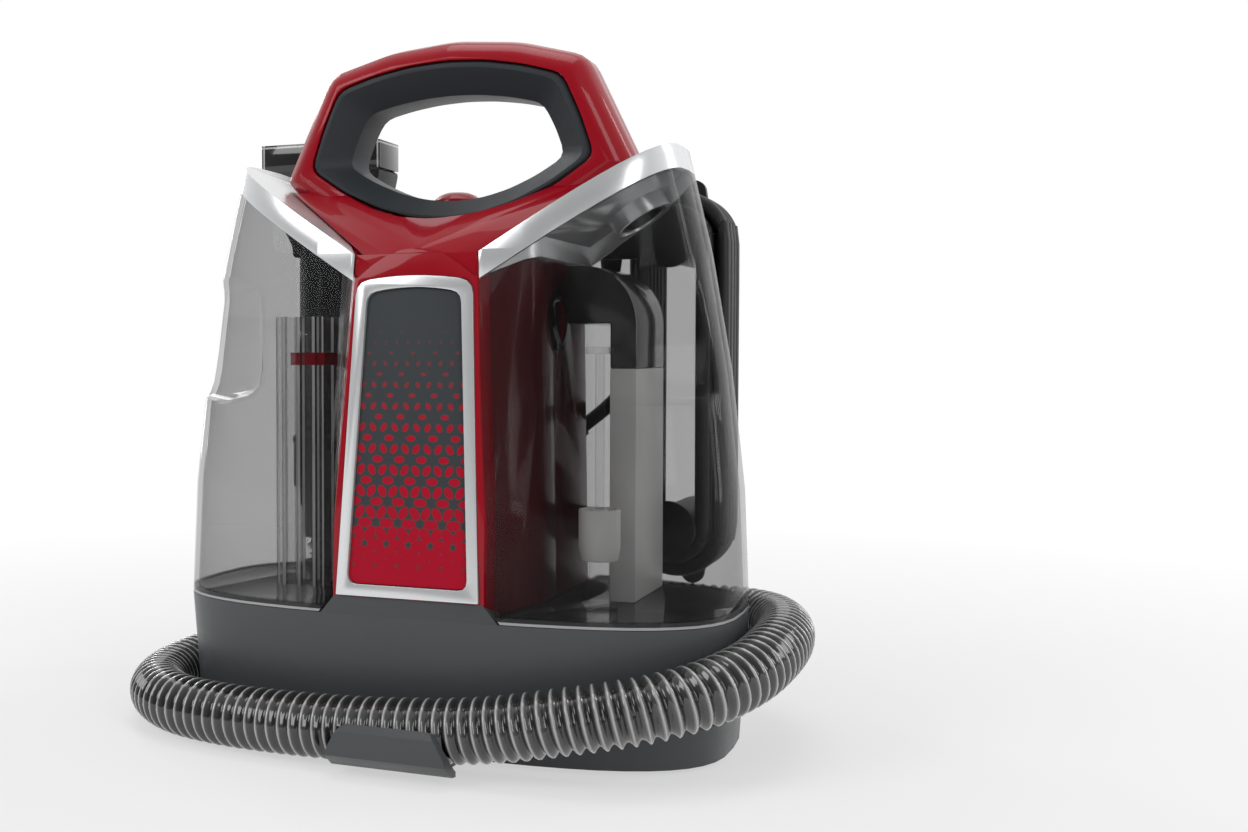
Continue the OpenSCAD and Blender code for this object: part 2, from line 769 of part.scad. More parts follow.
module air_gasket() {
    color([0.05, 0.05, 0.05])
        difference() {
            intersection() {
                translate([0, air_port_y, air_port_z])
                    rotate([0, 90, 0]) cylinder(d = air_port_d + 6, h = column_w);
                column_hull(tank_gap - fit);
            }
            column_hull(0);
            translate([0, air_port_y, air_port_z]) rotate([0, 90, 0]) cylinder(d = air_port_d, h = column_w);
        }
}

// ---- Tanks: modelled on the right, mirrored for the left ----
tank_z = base_h + fit;
module under_slope(down) {
    far = base_w;
    drop = down / cos(shoulder_angle);
    along_y(-base_d, base_d)
        polygon([[0, -10], [far, -10], [far, slope_z(far) - drop], [0, slope_z(0) - drop]]);
}
// The space of one tank, drawn in by inset, with its top this far under the slope. The form's
// rings below the first one can be left out where only the top of the space is wanted.
space_steps = 4;
space_top = slope_z(tanks_top_w / 2) + 4;
module tank_space(inset, top_down, first = 0) {
    low = tank_z + inset + (space_top - tank_z - inset) * first / space_steps;
    difference() {
        intersection() {
            form(low, space_top, inset, space_steps - first);
            under_slope(top_down);
        }
        column_hull(tank_gap + inset);
        along_y(-base_d, -base_d / 2 + step_d + tank_gap + inset) step_face(tank_gap + inset);
    }
}
cover_gap = 0.2;
cover_under = fit + cover_h;
// Finger recess at the outer front corner of a tank, grown by the wall
recess_low = 165;
recess_high = 197;
recess_r = 14;
recess_ends = [[base_w / 2 - 43, 5 - base_d / 2], [base_w / 2 - 7, 34 - base_d / 2]];
module grip_recess(grow) {
    hull()
        for (z = [recess_low, recess_high], at = recess_ends)
            translate([at.x, at.y, z]) sphere(r = recess_r + grow, $fn = 14);
}
module tank_shell() {
    difference() {
        tank_space(0, cover_under + cover_gap);
        grip_recess(0);
        difference() {
            tank_space(tank_wall, 0);
            grip_recess(tank_wall);
        }
    }
}
neck_x = 72;
neck_y = base_d / 2 - 30;
module at_neck() {
    translate([neck_x, neck_y, slope_z(neck_x) - fit / cos(shoulder_angle)])
        rotate([0, -shoulder_angle, 0])
            children();
}
cover_ring = 2;
module tank_cover() {
    difference() {
        tank_space(0, fit, cover_ring);
        tank_space(tank_wall, fit + 2.5, cover_ring);
        under_slope(cover_under);
        at_neck() translate([0, 0, -12]) cylinder(d = neck_d, h = 20);
    }
    difference() {
        at_neck() translate([0, 0, -cover_h]) cylinder(d = neck_d + 5, h = cover_h - 1);
        at_neck() translate([0, 0, -12]) cylinder(d = neck_d, h = 20);
    }
}
cap_lift = 2.2;
module neck_cap() {
    at_neck()
        difference() {
            union() {
                translate([0, 0, 0.1]) cylinder(d = neck_d + 6, h = cap_lift);
                translate([0, 0, -cover_h + 1]) cylinder(d = neck_d - 0.8, h = cover_h);
                translate([-neck_d / 2, -2, cap_lift]) cube([neck_d, 4, 5]);
            }
            translate([0, 0, -cover_h]) cylinder(d = neck_d - 5, h = cover_h - 1);
        }
}

module clean_tank() {
    color([0.75, 0.77, 0.78, 0.4])
        difference() {
            mirror([1, 0, 0]) tank_shell();
            translate([valve_x, valve_y, tank_z - 1]) cylinder(d = 16, h = 10);
        }
}
module clean_tank_cover() { color([0.78, 0.79, 0.8]) mirror([1, 0, 0]) tank_cover(); }
module fill_cap() { color([0.12, 0.12, 0.13]) mirror([1, 0, 0]) neck_cap(); }
valve_travel = 2.5;
module valve_plunger() {
    z = base_h + 2 + 0.05;
    color([0.1, 0.1, 0.1])
        translate([valve_x, valve_y, 0]) {
            translate([0, 0, tank_z + tank_wall + valve_travel + 0.1]) cylinder(d = 21, h = 2.5);
            translate([0, 0, z]) cylinder(d = 6, h = 16);
        }
}
// Clear ribbed column that stands in the clean tank
clean_col_x = -76;
clean_col_w = 26;
clean_col_d = 18;
clean_col_top = 190;
module clean_column() {
    z0 = tank_z + tank_wall;
    color([0.8, 0.82, 0.83, 0.4])
        translate([clean_col_x, -8, z0])
            difference() {
                union() {
                    translate([-clean_col_w / 2, -clean_col_d / 2, 0])
                        cube([clean_col_w, clean_col_d, clean_col_top - z0]);
                    for (x = [-8, 0, 8])
                        translate([x - 1, -clean_col_d / 2 - 1.5, 0])
                            cube([2, 2, clean_col_top - z0]);
                }
                translate([-clean_col_w / 2 + 1.8, -clean_col_d / 2 + 1.8, -1])
                    cube([clean_col_w - 3.6, clean_col_d - 3.6, clean_col_top - z0 - 1]);
            }
}

module dirty_tank() {
    color([0.7, 0.72, 0.73, 0.4])
        difference() {
            tank_shell();
            translate([duct_x0 + 1.5, duct_y0 + 1.5, tank_z - 1])
                cube([duct_w - 3, duct_d - 3, tank_wall + 2]);
            translate([0, air_port_y, air_port_z])
                rotate([0, 90, 0]) cylinder(d = air_port_d, h = column_w / 2 + 10);
        }
}
module dirty_tank_cover() { color([0.78, 0.79, 0.8]) tank_cover(); }
module drain_cap() { color([0.12, 0.12, 0.13]) neck_cap(); }
duct_top = 166;
duct_wall = 1.6;
module dirty_duct() {
    z0 = tank_z + tank_wall;
    color([0.85, 0.86, 0.87])
        translate([duct_x0, duct_y0, z0])
            difference() {
                cube([duct_w, duct_d, duct_top - z0]);
                translate([duct_wall, duct_wall, -1])
                    cube([duct_w - 2 * duct_wall, duct_d - 2 * duct_wall, duct_top]);
            }
}
hood_top = 212;
hood_in = 52;
hood_r = 26;
// Side view of the elbow, drawn in by the wall for its passage
function hood_profile(in) = let (low = duct_top - (in > 0 ? 1 : 0),
    at = [duct_x0 + duct_w - hood_r, hood_top - hood_r])
    concat([[duct_x0 + in, low]], [[duct_x0 + duct_w - in, low]],
        [for (a = [0 : 9 : 90]) at + (hood_r - in) * [cos(a), sin(a)]],
        [[hood_in - in, hood_top - in], [hood_in - in, at.y + in], [duct_x0 + in, at.y + in]]);
module separator_hood() {
    color([0.3, 0.31, 0.32])
        difference() {
            along_y(duct_y0, duct_y0 + duct_d) polygon(hood_profile(0));
            along_y(duct_y0 + duct_wall, duct_y0 + duct_d - duct_wall)
                polygon(hood_profile(duct_wall));
        }
}
float_x = 74;
float_y = -26;
float_d = 18;
guide_d = 4;
float_z = 84;
float_h = 22;
float_rise = 60;
guide_top = float_z + float_h + float_rise + 6.5;
module float_guide() {
    z0 = tank_z + tank_wall;
    color([0.8, 0.82, 0.83])
        translate([float_x, float_y, 0]) {
            translate([0, 0, z0]) cylinder(d = 16, h = 3);
            translate([0, 0, z0]) cylinder(d = guide_d, h = guide_top + 2 - z0);
            translate([0, 0, z0 + 3 - eps]) cylinder(d = 9, h = float_z - z0 - 3 - fit);
            translate([0, 0, guide_top]) cylinder(d = 12, h = 3);
            translate([-2, 0, guide_top]) cube([4, duct_y0 - float_y, 3]);
        }
}
module float() {
    color([0.9, 0.9, 0.88])
        translate([float_x, float_y, float_z])
            difference() {
                union() {
                    cylinder(d1 = float_d - 2, d2 = float_d, h = 6);
                    translate([0, 0, 6 - eps]) cylinder(d = float_d, h = float_h - 6);
                }
                translate([0, 0, 3]) difference() {
                    cylinder(d = float_d - 3, h = 25);
                    cylinder(d = guide_d + 3, h = 25);
                }
                translate([0, 0, -1]) cylinder(d = guide_d + 0.5, h = 30);
            }
}

// ---- Tubes swept along points ----
function unit(v) = v / norm(v);
function cross_up(t) = abs(t.z) > 0.9 ? unit(cross(t, [0, 1, 0])) : unit(cross(t, [0, 0, 1]));
// Side normals are carried along the path so that the rings don't twist
function next_u(u, t) = unit(u - t * (u * t));
function carry(ts, i, us) = i == len(ts) ? us
    : carry(ts, i + 1, concat(us, [next_u(us[i - 1], ts[i])]));
function frames(ts) = carry(ts, 1, [cross_up(ts[0])]);
function tangents(p) = [for (i = [0 : len(p) - 1])
    unit(p[min(i + 1, len(p) - 1)] - p[max(i - 1, 0)])];
function swept_rings(p, radii, n) = let (ts = tangents(p), us = frames(ts))
    [for (i = [0 : len(p) - 1], k = [0 : n - 1]) let (a = 360 * k / n, v = cross(ts[i], us[i]))
        p[i] + (us[i] * cos(a) + v * sin(a)) * radii[i]];
function skin_faces(m, n, at, out) = [for (i = [0 : m - 2], k = [0 : n - 1], half = [0, 1])
    let (a = at + i * n + k, b = at + i * n + (k + 1) % n,
        f = half == 0 ? [a, b, b + n] : [a, b + n, a + n])
    out ? f : [f[2], f[1], f[0]]];
function fan_cap(at, n, flip) = [for (k = [1 : n - 2])
    flip ? [at, at + k, at + k + 1] : [at, at + k + 1, at + k]];
module solid_tube(p, r, n) {
    m = len(p);
    pts = swept_rings(p, [for (q = p) r], n);
    polyhedron(pts, concat(skin_faces(m, n, 0, true), fan_cap(0, n, false),
        fan_cap((m - 1) * n, n, true)));
}
// Smooth curve through hand-set points, and even steps along it
function spline(a, b, c, d, t) = 0.5 * ((2 * b) + (c - a) * t + (2 * a - 5 * b + 4 * c - d) * t * t
    + (3 * b - a - 3 * c + d) * t * t * t);
function through(p, n) = [for (i = [0 : len(p) - 2], k = [0 : n - 1])
    spline(p[max(i - 1, 0)], p[i], p[i + 1], p[min(i + 2, len(p) - 1)], k / n), ];
function smooth_path(p, n) = concat(through(p, n), [p[len(p) - 1]]);
function run(p, i = 1, acc = [0]) = i == len(p) ? acc
    : run(p, i + 1, concat(acc, [acc[i - 1] + norm(p[i] - p[i - 1])]));
function place(p, s, d, lo, hi) = hi - lo <= 1
    ? p[lo] + (p[hi] - p[lo]) * (d - s[lo]) / (s[hi] - s[lo])
    : let (mid = floor((lo + hi) / 2)) s[mid] > d ? place(p, s, d, lo, mid) : place(p, s, d, mid, hi);
function even(p, count) = let (s = run(p), total = s[len(s) - 1])
    [for (i = [0 : count]) place(p, s, min(total * i / count, total - 0.001), 0, len(p) - 1)];

// ---- Hose ----
port_y = base_d / 2 + 18;
cuff_len = 22;
wand_x = -114;
wand_y = base_d / 2 + 24;
wand_z = 90;
cuff_z = wand_z + 4 - cuff_len;
hose_route = [
    [-36, port_y, port_z], [-16, port_y, port_z], [20, port_y, port_z], [55, port_y, port_z],
    [85, port_y, port_z], [110, 79.5, 45.5], [128, 68, 46], [139, 49, 46.5], [144.5, 24, 46.5],
    [144.5, -4, 45], [139, -31, 41.5], [126, -54, 37], [105, -69, 32], [75, -77, 26.5],
    [42, -80, 20.5], [12, -81, 17.5], [-20, -80.5, 15.5], [-52, -79, 14.5], [-84, -75, 14],
    [-113, -66, 14], [-135, -48, 14], [-147, -24, 14], [-151, 4, 14.5], [-148, 34, 16],
    [-139, 60, 21], [-127, 78, 31],
    [-117, 87, 46], [wand_x, wand_y, 60], [wand_x, wand_y, 68], [wand_x, wand_y, cuff_z - 0.1]];
module hose() {
    p = even(smooth_path(hose_route, 6), hose_ribs * 2);
    bore_path = [for (i = [0 : 4 : len(p) - 1]) p[i]];
    n = 8;
    m = len(p);
    mb = len(bore_path);
    outer = swept_rings(p, [for (i = [0 : m - 1]) i % 2 == 0 ? hose_d / 2 - 1.6 : hose_d / 2], n);
    inner = swept_rings(bore_path, [for (q = bore_path) hose_bore / 2], n);
    at = m * n;
    ends = [for (k = [0 : n - 1], half = [0, 1]) let (j = (k + 1) % n)
        half == 0 ? [j, k, at + k] : [j, at + k, at + j]];
    o = (m - 1) * n;
    b = at + (mb - 1) * n;
    far_ends = [for (k = [0 : n - 1], half = [0, 1]) let (j = (k + 1) % n)
        half == 0 ? [o + k, o + j, b + j] : [o + k, b + j, b + k]];
    echo(hose_length = run(p)[m - 1]);
    color([0.35, 0.35, 0.36])
        polyhedron(concat(outer, inner),
            concat(skin_faces(m, n, 0, true), skin_faces(mb, n, at, false), ends, far_ends));
}
module hose_port() {
    first = hose_route[0];
    color([0.14, 0.15, 0.16])
        difference() {
            union() {
                translate([first.x - 36, port_y, port_z]) rotate([0, 90, 0])
                    cylinder(d = cuff_d, h = 36);
                translate([port_x, half_d(port_z) - wall - fit, port_z]) rotate([-90, 0, 0])
                    cylinder(d = hose_bore + 5, h = port_y - half_d(port_z) + wall);
                translate([port_x, half_d(port_z) + fit, port_z]) rotate([-90, 0, 0])
                    cylinder(d = hose_bore + 14, h = 3);
            }
            translate([first.x - 30, port_y, port_z]) rotate([0, 90, 0])
                cylinder(d = hose_bore, h = 40);
            translate([port_x, 0, port_z]) rotate([-90, 0, 0])
                cylinder(d = hose_bore, h = port_y);
        }
}
module hose_cuff() {
    color([0.12, 0.12, 0.13])
        difference() {
            translate([wand_x, wand_y, cuff_z]) cylinder(d = cuff_d, h = cuff_len);
            translate([wand_x, wand_y, cuff_z - 1]) cylinder(d = hose_bore, h = cuff_len + 2);
        }
}

// ---- Power cord, wound on two posts behind the right tank ----
post_x = 81;
post_low_z = 87;
post_high_z = 228;
wind_y0 = base_d / 2 + 9;
wind_pitch = cord_d + 0.5;
lap_steps = 24;
function lap_point(i, r, y) = let (k = i % lap_steps)
    k < 11 ? [post_x - r * cos(18 * k), y, post_high_z + r * sin(18 * k)]
    : k == 11 ? [post_x + r, y, (post_high_z + post_low_z) / 2]
    : k < 23 ? [post_x + r * cos(18 * (k - 12)), y, post_low_z - r * sin(18 * (k - 12))]
    : [post_x - r, y, (post_high_z + post_low_z) / 2];
r_in = post_r + 0.8 + cord_d / 2;
r_out = r_in + cord_d + 0.6;
steps_in = turns_in * lap_steps;
steps_out = turns_out * lap_steps;
climb = 12;
back_off = 0.9;
y_far = wind_y0 + wind_pitch * (turns_in - 0.5);
winding = concat(
    [for (i = [0 : steps_in - climb]) lap_point(i, r_in, wind_y0 + wind_pitch * i / lap_steps)],
    [for (i = [steps_in - climb + 1 : steps_in]) let (j = i - steps_in + climb)
        lap_point(i, r_in + (r_out - r_in) * j / climb, y_far + back_off * min(1, j / 3))],
    [for (i = [steps_in + 1 : steps_in + steps_out - 1])
        lap_point(i, r_out, y_far + back_off * (1 - min(1, (i - steps_in) / climb))
            - wind_pitch * (i - steps_in) / lap_steps)]);
lead_in = [for (q = [[36, 136], [41, 139.8], [48, 145.5], [56, 154], [62, 166], [65.2, 180],
    [66.2, 196]]) [q.x, wind_y0, q.y]];
tail_out = [for (q = [[57, 11.5, 168], [53, 13, 180], [49, 14, 192], [46.5, 14, 204],
    [46.5, 14, 212]]) [q.x, wind_y0 + q.y, q.z]];
cord_path = concat(lead_in, winding, tail_out);
least_gap = min([for (i = [0 : 2 : len(cord_path) - 13], j = [i + 12 : 2 : len(cord_path) - 1])
    norm(cord_path[i] - cord_path[j])]) - cord_d;
module power_cord() {
    echo(cord_length = run(cord_path)[len(cord_path) - 1], cord_least_gap = least_gap);
    color([0.05, 0.05, 0.05]) solid_tube(cord_path, cord_d / 2, 6);
}
module cord_plug() {
    end = tail_out[len(tail_out) - 1];
    color([0.07, 0.07, 0.07]) translate(end) {
        cylinder(d1 = cord_d + 2, d2 = cord_d + 5, h = 12);
        translate([-7.5, -11, 12 - eps]) cube([15, 22, 20]);
        for (y = [-6.5, 5]) translate([-3.2, y, 32 - eps]) cube([6.4, 1.5, 16]);
    }
}
module strain_relief() {
    start = lead_in[0];
    along = unit(lead_in[1] - lead_in[0]);
    back = start - along * 30;
    color([0.06, 0.06, 0.06]) {
        difference() {
            translate(back)
                rotate([0, acos(along.z), 0]) {
                    cylinder(d1 = cord_d + 7, d2 = cord_d + 2.5, h = 30);
                    translate([0, 0, -6]) cylinder(d = cord_d + 9, h = 8);
                }
            translate([-100, column_back + cover_t - 20 + fit, 0]) cube([200, 20, 300]);
        }
        translate([back.x - 7, column_back + cover_t + fit, back.z - 12])
            cube([12, wind_y0 - column_back - cover_t - fit, 16]);
    }
}

// ---- Cord posts ----
arm_y0 = base_d / 2 + 2;
arm_t = 3.5;
flange_t = 4;
post_end = y_far + wind_pitch * 0.5 + cord_d / 2 + 1;
module cord_arm(z) {
    color([0.15, 0.16, 0.17]) {
        translate([cover_x - 14, column_back + cover_t, z - 9])
            cube([12, arm_y0 + arm_t - column_back - cover_t, 18]);
        translate([cover_x - 14, arm_y0, z - 9])
            cube([post_x - cover_x + 14, arm_t, 18]);
        translate([post_x, arm_y0, z]) rotate([-90, 0, 0]) cylinder(r = post_r + 3, h = arm_t);
    }
}
module tongue(z, dir) {
    hull() {
        translate([post_x, post_end, z]) rotate([-90, 0, 0]) cylinder(r = post_r, h = flange_t);
        translate([post_x, post_end, z + dir * 29]) rotate([-90, 0, 0]) cylinder(r = 6, h = flange_t);
    }
}
module cord_hook_lower() {
    cord_arm(post_low_z);
    color([0.15, 0.16, 0.17]) {
        translate([post_x, arm_y0 + arm_t - eps, post_low_z]) rotate([-90, 0, 0])
            cylinder(r = post_r, h = post_end - arm_y0 - arm_t + 1);
        tongue(post_low_z, -1);
    }
}
pivot_d = 8;
module cord_hook_pivot() {
    cord_arm(post_high_z);
    color([0.15, 0.16, 0.17])
        translate([post_x, arm_y0 + arm_t - eps, post_high_z]) rotate([-90, 0, 0])
            cylinder(d = pivot_d, h = post_end - arm_y0 - arm_t - 2);
}
module cord_hook_upper() {
    color([0.17, 0.18, 0.19])
        difference() {
            union() {
                translate([post_x, arm_y0 + arm_t + fit, post_high_z]) rotate([-90, 0, 0])
                    cylinder(r = post_r, h = post_end - arm_y0 - arm_t + 1);
                tongue(post_high_z, 1);
            }
            translate([post_x, arm_y0, post_high_z]) rotate([-90, 0, 0])
                cylinder(d = pivot_d + 0.1, h = post_end - arm_y0 - 1);
        }
}

// ---- Wand ----
seat_z = 124;
grip_d = wand_d + 2;
grip_top = 177;
neck_z = 183;
spigot_top = 207;
trigger_z = 168;
trigger_y = -15.5;
pocket_y = -12.6;
wand_bore = hose_bore;
module at_wand(z = 0) { translate([wand_x, wand_y, z]) children(); }
module wand_body() {
    color([0.13, 0.14, 0.15])
        difference() {
            at_wand()
                rotate_extrude()
                    polygon([[0, wand_z - 2], [wand_d / 2 - 1, wand_z - 2], [wand_d / 2, wand_z],
                        [wand_d / 2, seat_z], [grip_d / 2 + 3, seat_z], [grip_d / 2 + 3, seat_z + 3],
                        [grip_d / 2, seat_z + 6], [grip_d / 2, grip_top],
                        [wand_d / 2 - 0.5, neck_z], [spigot_d / 2, neck_z],
                        [spigot_d / 2, spigot_top - 1], [spigot_d / 2 - 1, spigot_top],
                        [0, spigot_top]]);
            at_wand(wand_z + 4) cylinder(d = wand_bore, h = 200);
            at_wand(wand_z - 3) cylinder(d = cuff_d + 0.1, h = 7);
            at_wand(seat_z + 7) translate([-6.5, -grip_d, 0]) cube([13, grip_d + pocket_y, 44]);
            at_wand(trigger_z) translate([-20, trigger_y, 0]) rotate([0, 90, 0])
                cylinder(d = 3, h = 40);
        }
}
module trigger_pin() {
    color([0.75, 0.76, 0.78])
        at_wand(trigger_z) translate([-8.5, trigger_y, 0]) rotate([0, 90, 0])
            cylinder(d = 3, h = 17);
}
module wand_trigger() {
    color([0.5, 0.05, 0.06])
        at_wand(trigger_z)
            translate([-5.5, trigger_y, 0])
                difference() {
                    union() {
                        rotate([90, 0, 90])
                            linear_extrude(11)
                                polygon([[-0.5, -1], [1, -6], [-4.6, -34], [-8, -35],
                                    [-9, -30], [-5, 0], [-0.5, 1.5]]);
                        rotate([0, 90, 0]) cylinder(d = 5, h = 11);
                    }
                    translate([-1, 0, 0]) rotate([0, 90, 0]) cylinder(d = 3.1, h = 13);
                }
}
module wand_spray_line() {
    color([0.1, 0.1, 0.1])
        at_wand() translate([0, -grip_d / 2 - 3 - fit, 0]) {
            translate([0, 0, grip_top - 3]) cylinder(d = 6, h = neck_z - grip_top + 3 - fit);
            translate([-2, 0, grip_top - 3]) cube([4, 3, 3]);
        }
}
module wand_holder() {
    y0 = arm_y0;
    color([0.15, 0.16, 0.17])
        difference() {
            union() {
                translate([-cover_x + 2, column_back + cover_t, seat_z - 24])
                    cube([12, y0 + arm_t - column_back - cover_t, 20]);
                translate([wand_x, y0, seat_z - 24])
                    cube([-wand_x - cover_x + 14, arm_t, 20]);
                at_wand(seat_z - 24) cylinder(d = wand_d + 7, h = 24 - fit);
            }
            at_wand(seat_z - 25) cylinder(d = wand_d + 0.7, h = 26);
        }
}

// ---- Brush tool ----
tool_z0 = 185;
tool_top = 287;
tool_neck_d = spigot_d + 0.1 + 2 * tool_wall + 2.4;
head_z = tool_top - 16;
brush_z = tool_top - 45;
neck_top = tool_top - 56;
head_front = 12;
head_back = 12;
module tool_outline(in) {
    n = tool_neck_d / 2;
    polygon(eased([[-n + in, neck_top - 6], [n - in, neck_top - 6], [n - in, neck_top],
        [tool_w * 0.32 - in, brush_z], [tool_w * 0.47 - in, head_z - 9],
        [tool_w / 2 - in, head_z + 1], [-tool_w / 2 + in, head_z + 1],
        [-tool_w * 0.47 + in, head_z - 9], [-tool_w * 0.32 + in, brush_z], [-n + in, neck_top]], 3, 3));
}
module tool_body() {
    color([0.07, 0.07, 0.08])
        translate([wand_x, wand_y, 0])
            difference() {
                union() {
                    translate([0, 0, tool_z0]) cylinder(d = tool_neck_d, h = neck_top - tool_z0);
                    along_y(-head_front, head_back) tool_outline(0);
                    at_tufts() translate([0, 0.5, 0]) rotate([90, 0, 0]) cylinder(d = 8.6, h = 1.8);
                }
                translate([0, 0, tool_z0 - 1]) cylinder(d = spigot_d + 0.1, h = spigot_top - tool_z0 + 2);
                translate([0, 0, latch_z]) rotate([-90, 0, 0]) cylinder(d = latch_d + 0.4, h = tool_neck_d);
                translate([0, 0, spigot_top - 1]) cylinder(d = wand_bore, h = neck_top - spigot_top - 6);
                along_y(-2, head_back - tool_wall)
                    polygon([[-9, neck_top - 10], [9, neck_top - 10], [tool_w * 0.32 - 3, brush_z],
                        [tool_w * 0.47 - 3, head_z - 9], [tool_w / 2 - 3, head_z + 2],
                        [-tool_w / 2 + 3, head_z + 2], [-tool_w * 0.47 + 3, head_z - 9],
                        [-tool_w * 0.32 + 3, brush_z]]);
            }
}
tuft_pitch = 10.4;
row_pitch = 8;
tuft_len = 7;
module at_tufts() {
    for (row = [0 : 2], i = [0 : 5 - row])
        translate([(i - (5 - row) / 2) * tuft_pitch, -head_front, head_z - 9 - row * row_pitch])
            children();
}
module tool_bristles() {
    color([0.7, 0.05, 0.07])
        translate([wand_x, wand_y, 0])
            at_tufts() translate([0, -1.3 - eps, 0]) rotate([90, 0, 0])
                cylinder(d1 = 7, d2 = 8.4, h = tuft_len, $fn = 16);
}
module tool_window() {
    h = tool_top - head_z - 1;
    d = head_front + head_back;
    color([0.85, 0.87, 0.88, 0.5])
        translate([wand_x - tool_w / 2, wand_y - head_front, head_z + 1])
            difference() {
                cube([tool_w, d, h]);
                translate([tool_wall, tool_wall, -1]) cube([tool_w - 2 * tool_wall, d - 2 * tool_wall, h + 2]);
            }
}
sprayer_y = -18.2;
module tool_sprayer() {
    color([0.1, 0.1, 0.11])
        translate([wand_x, wand_y, 0])
            difference() {
                union() {
                    translate([0, sprayer_y - 3.4, neck_z + fit]) cylinder(d = 9, h = 34);
                    translate([-3, sprayer_y - 3.4, neck_z + 8]) cube([6, 5.5, 24]);
                }
                translate([0, 0, tool_z0 - 10]) cylinder(d = tool_neck_d, h = 60);
            }
}
latch_d = 11;
latch_z = tool_z0 + 12;
latch_in = spigot_d / 2 + 2.2;
module tool_latch() {
    color([0.12, 0.12, 0.13])
        translate([wand_x, wand_y + latch_in, latch_z])
            rotate([-90, 0, 0]) cylinder(d = latch_d, h = tool_neck_d / 2 - latch_in + 1.8);
}

base_housing();
bottom_plate();
rubber_feet();
casing_screws();
hose_cradle();
front_shell();
rear_shell();
rear_cover();
grip_lining();
front_bezel();
front_panel();
motor_cradle();
lower_damper();
vacuum_motor();
fan_housing();
upper_damper();
motor_clamp();
motor_shaft();
fan();
water_pump();
pump_mount();
water_heater();
heater_brackets();
water_tubes();
suction_duct();
tank_valve_seat();
air_gasket();
switch_module();
power_button();
hose_port();
hose();
hose_cuff();
power_cord();
cord_plug();
strain_relief();
cord_hook_lower();
cord_hook_upper();
cord_hook_pivot();
clean_tank();
clean_tank_cover();
clean_column();
fill_cap();
valve_plunger();
dirty_tank();
dirty_tank_cover();
dirty_duct();
separator_hood();
float_guide();
float();
drain_cap();
wand_body();
wand_trigger();
trigger_pin();
wand_spray_line();
wand_holder();
tool_body();
tool_window();
tool_bristles();
tool_sprayer();
tool_latch();
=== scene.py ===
"""Looks of an upright spot extractor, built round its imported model, section by section."""
import bpy
import json
import math
from mathutils import Matrix, Vector

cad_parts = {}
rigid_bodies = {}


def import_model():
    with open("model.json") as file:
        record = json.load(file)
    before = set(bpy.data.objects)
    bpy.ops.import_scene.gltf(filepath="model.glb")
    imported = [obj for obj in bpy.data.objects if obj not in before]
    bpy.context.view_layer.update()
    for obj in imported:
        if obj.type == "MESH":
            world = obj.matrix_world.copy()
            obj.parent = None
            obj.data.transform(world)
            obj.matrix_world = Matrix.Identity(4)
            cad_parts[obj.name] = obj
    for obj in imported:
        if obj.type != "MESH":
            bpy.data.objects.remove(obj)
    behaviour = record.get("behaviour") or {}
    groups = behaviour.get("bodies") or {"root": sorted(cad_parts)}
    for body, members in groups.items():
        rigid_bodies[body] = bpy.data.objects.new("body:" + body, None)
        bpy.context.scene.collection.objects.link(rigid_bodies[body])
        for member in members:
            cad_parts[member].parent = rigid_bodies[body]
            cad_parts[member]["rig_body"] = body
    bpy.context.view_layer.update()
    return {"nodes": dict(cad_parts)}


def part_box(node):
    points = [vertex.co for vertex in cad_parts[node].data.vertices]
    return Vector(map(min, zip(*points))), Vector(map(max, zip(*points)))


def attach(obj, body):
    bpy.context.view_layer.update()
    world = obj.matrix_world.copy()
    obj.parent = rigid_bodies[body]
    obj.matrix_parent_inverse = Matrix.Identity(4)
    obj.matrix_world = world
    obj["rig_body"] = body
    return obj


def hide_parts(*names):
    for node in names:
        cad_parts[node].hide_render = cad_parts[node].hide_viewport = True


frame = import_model()

# ---- Camera, floor and light ----
# A studio sweep: pale floor, white surround, one large soft key from the left, a fill from the
# right, a soft light above and two strips behind that draw bright lines down the clear tanks.
mm = 0.001
eye = Vector((244.4, -606.0, 172.5)) * mm
aim = Vector((0.0, 0.0, 151.05)) * mm
lens_mm, shift_right, shift_up = 40.57, 0.1295, -0.0128
bpy.ops.object.camera_add(location=eye)
camera = bpy.context.object
camera.name = "studio_camera"
camera.rotation_euler = (aim - eye).to_track_quat("-Z", "Y").to_euler()
camera.data.lens = lens_mm
camera.data.shift_x, camera.data.shift_y = shift_right, shift_up
camera.data.clip_start, camera.data.clip_end = 0.01, 60
bpy.context.scene.camera = camera
bpy.context.scene.view_settings.view_transform = "Standard"


def add_node(tree, kind, inputs=(), **settings):
    """One shader node with its settings, and its inputs given as values or as other nodes' sockets."""
    made = tree.nodes.new(kind)
    for key, value in settings.items():
        setattr(made, key, value)
    for key, value in dict(inputs).items():
        if isinstance(value, bpy.types.NodeSocket):
            tree.links.new(value, made.inputs[key])
        else:
            made.inputs[key].default_value = value
    return made


def combine(tree, first, second, operation="ADD"):
    """Two values or sockets put through one Math node."""
    return add_node(tree, "ShaderNodeMath", {0: first, 1: second}, operation=operation).outputs[0]


def between(tree, value, low, high, at_low=0.0, at_high=1.0):
    """A value's place between two limits, from at_low to at_high."""
    return add_node(tree, "ShaderNodeMapRange", {"Value": value, "From Min": low, "From Max": high,
                    "To Min": at_low, "To Max": at_high}).outputs[0]


def mixed(tree, share, under, over, kind="RGBA"):
    """A colour, or a number where kind is FLOAT, that goes from under to over as share goes to 1."""
    under_at, over_at, result_at = (6, 7, 2) if kind == "RGBA" else (2, 3, 0)
    mix = add_node(tree, "ShaderNodeMix", {0: share, under_at: under, over_at: over}, data_type=kind)
    return mix.outputs[result_at]


def coordinates(tree, kind="Object"):
    """The X, Y and Z of a texture coordinate, each as a socket."""
    place = add_node(tree, "ShaderNodeTexCoord").outputs[kind]
    return add_node(tree, "ShaderNodeSeparateXYZ", {0: place}).outputs


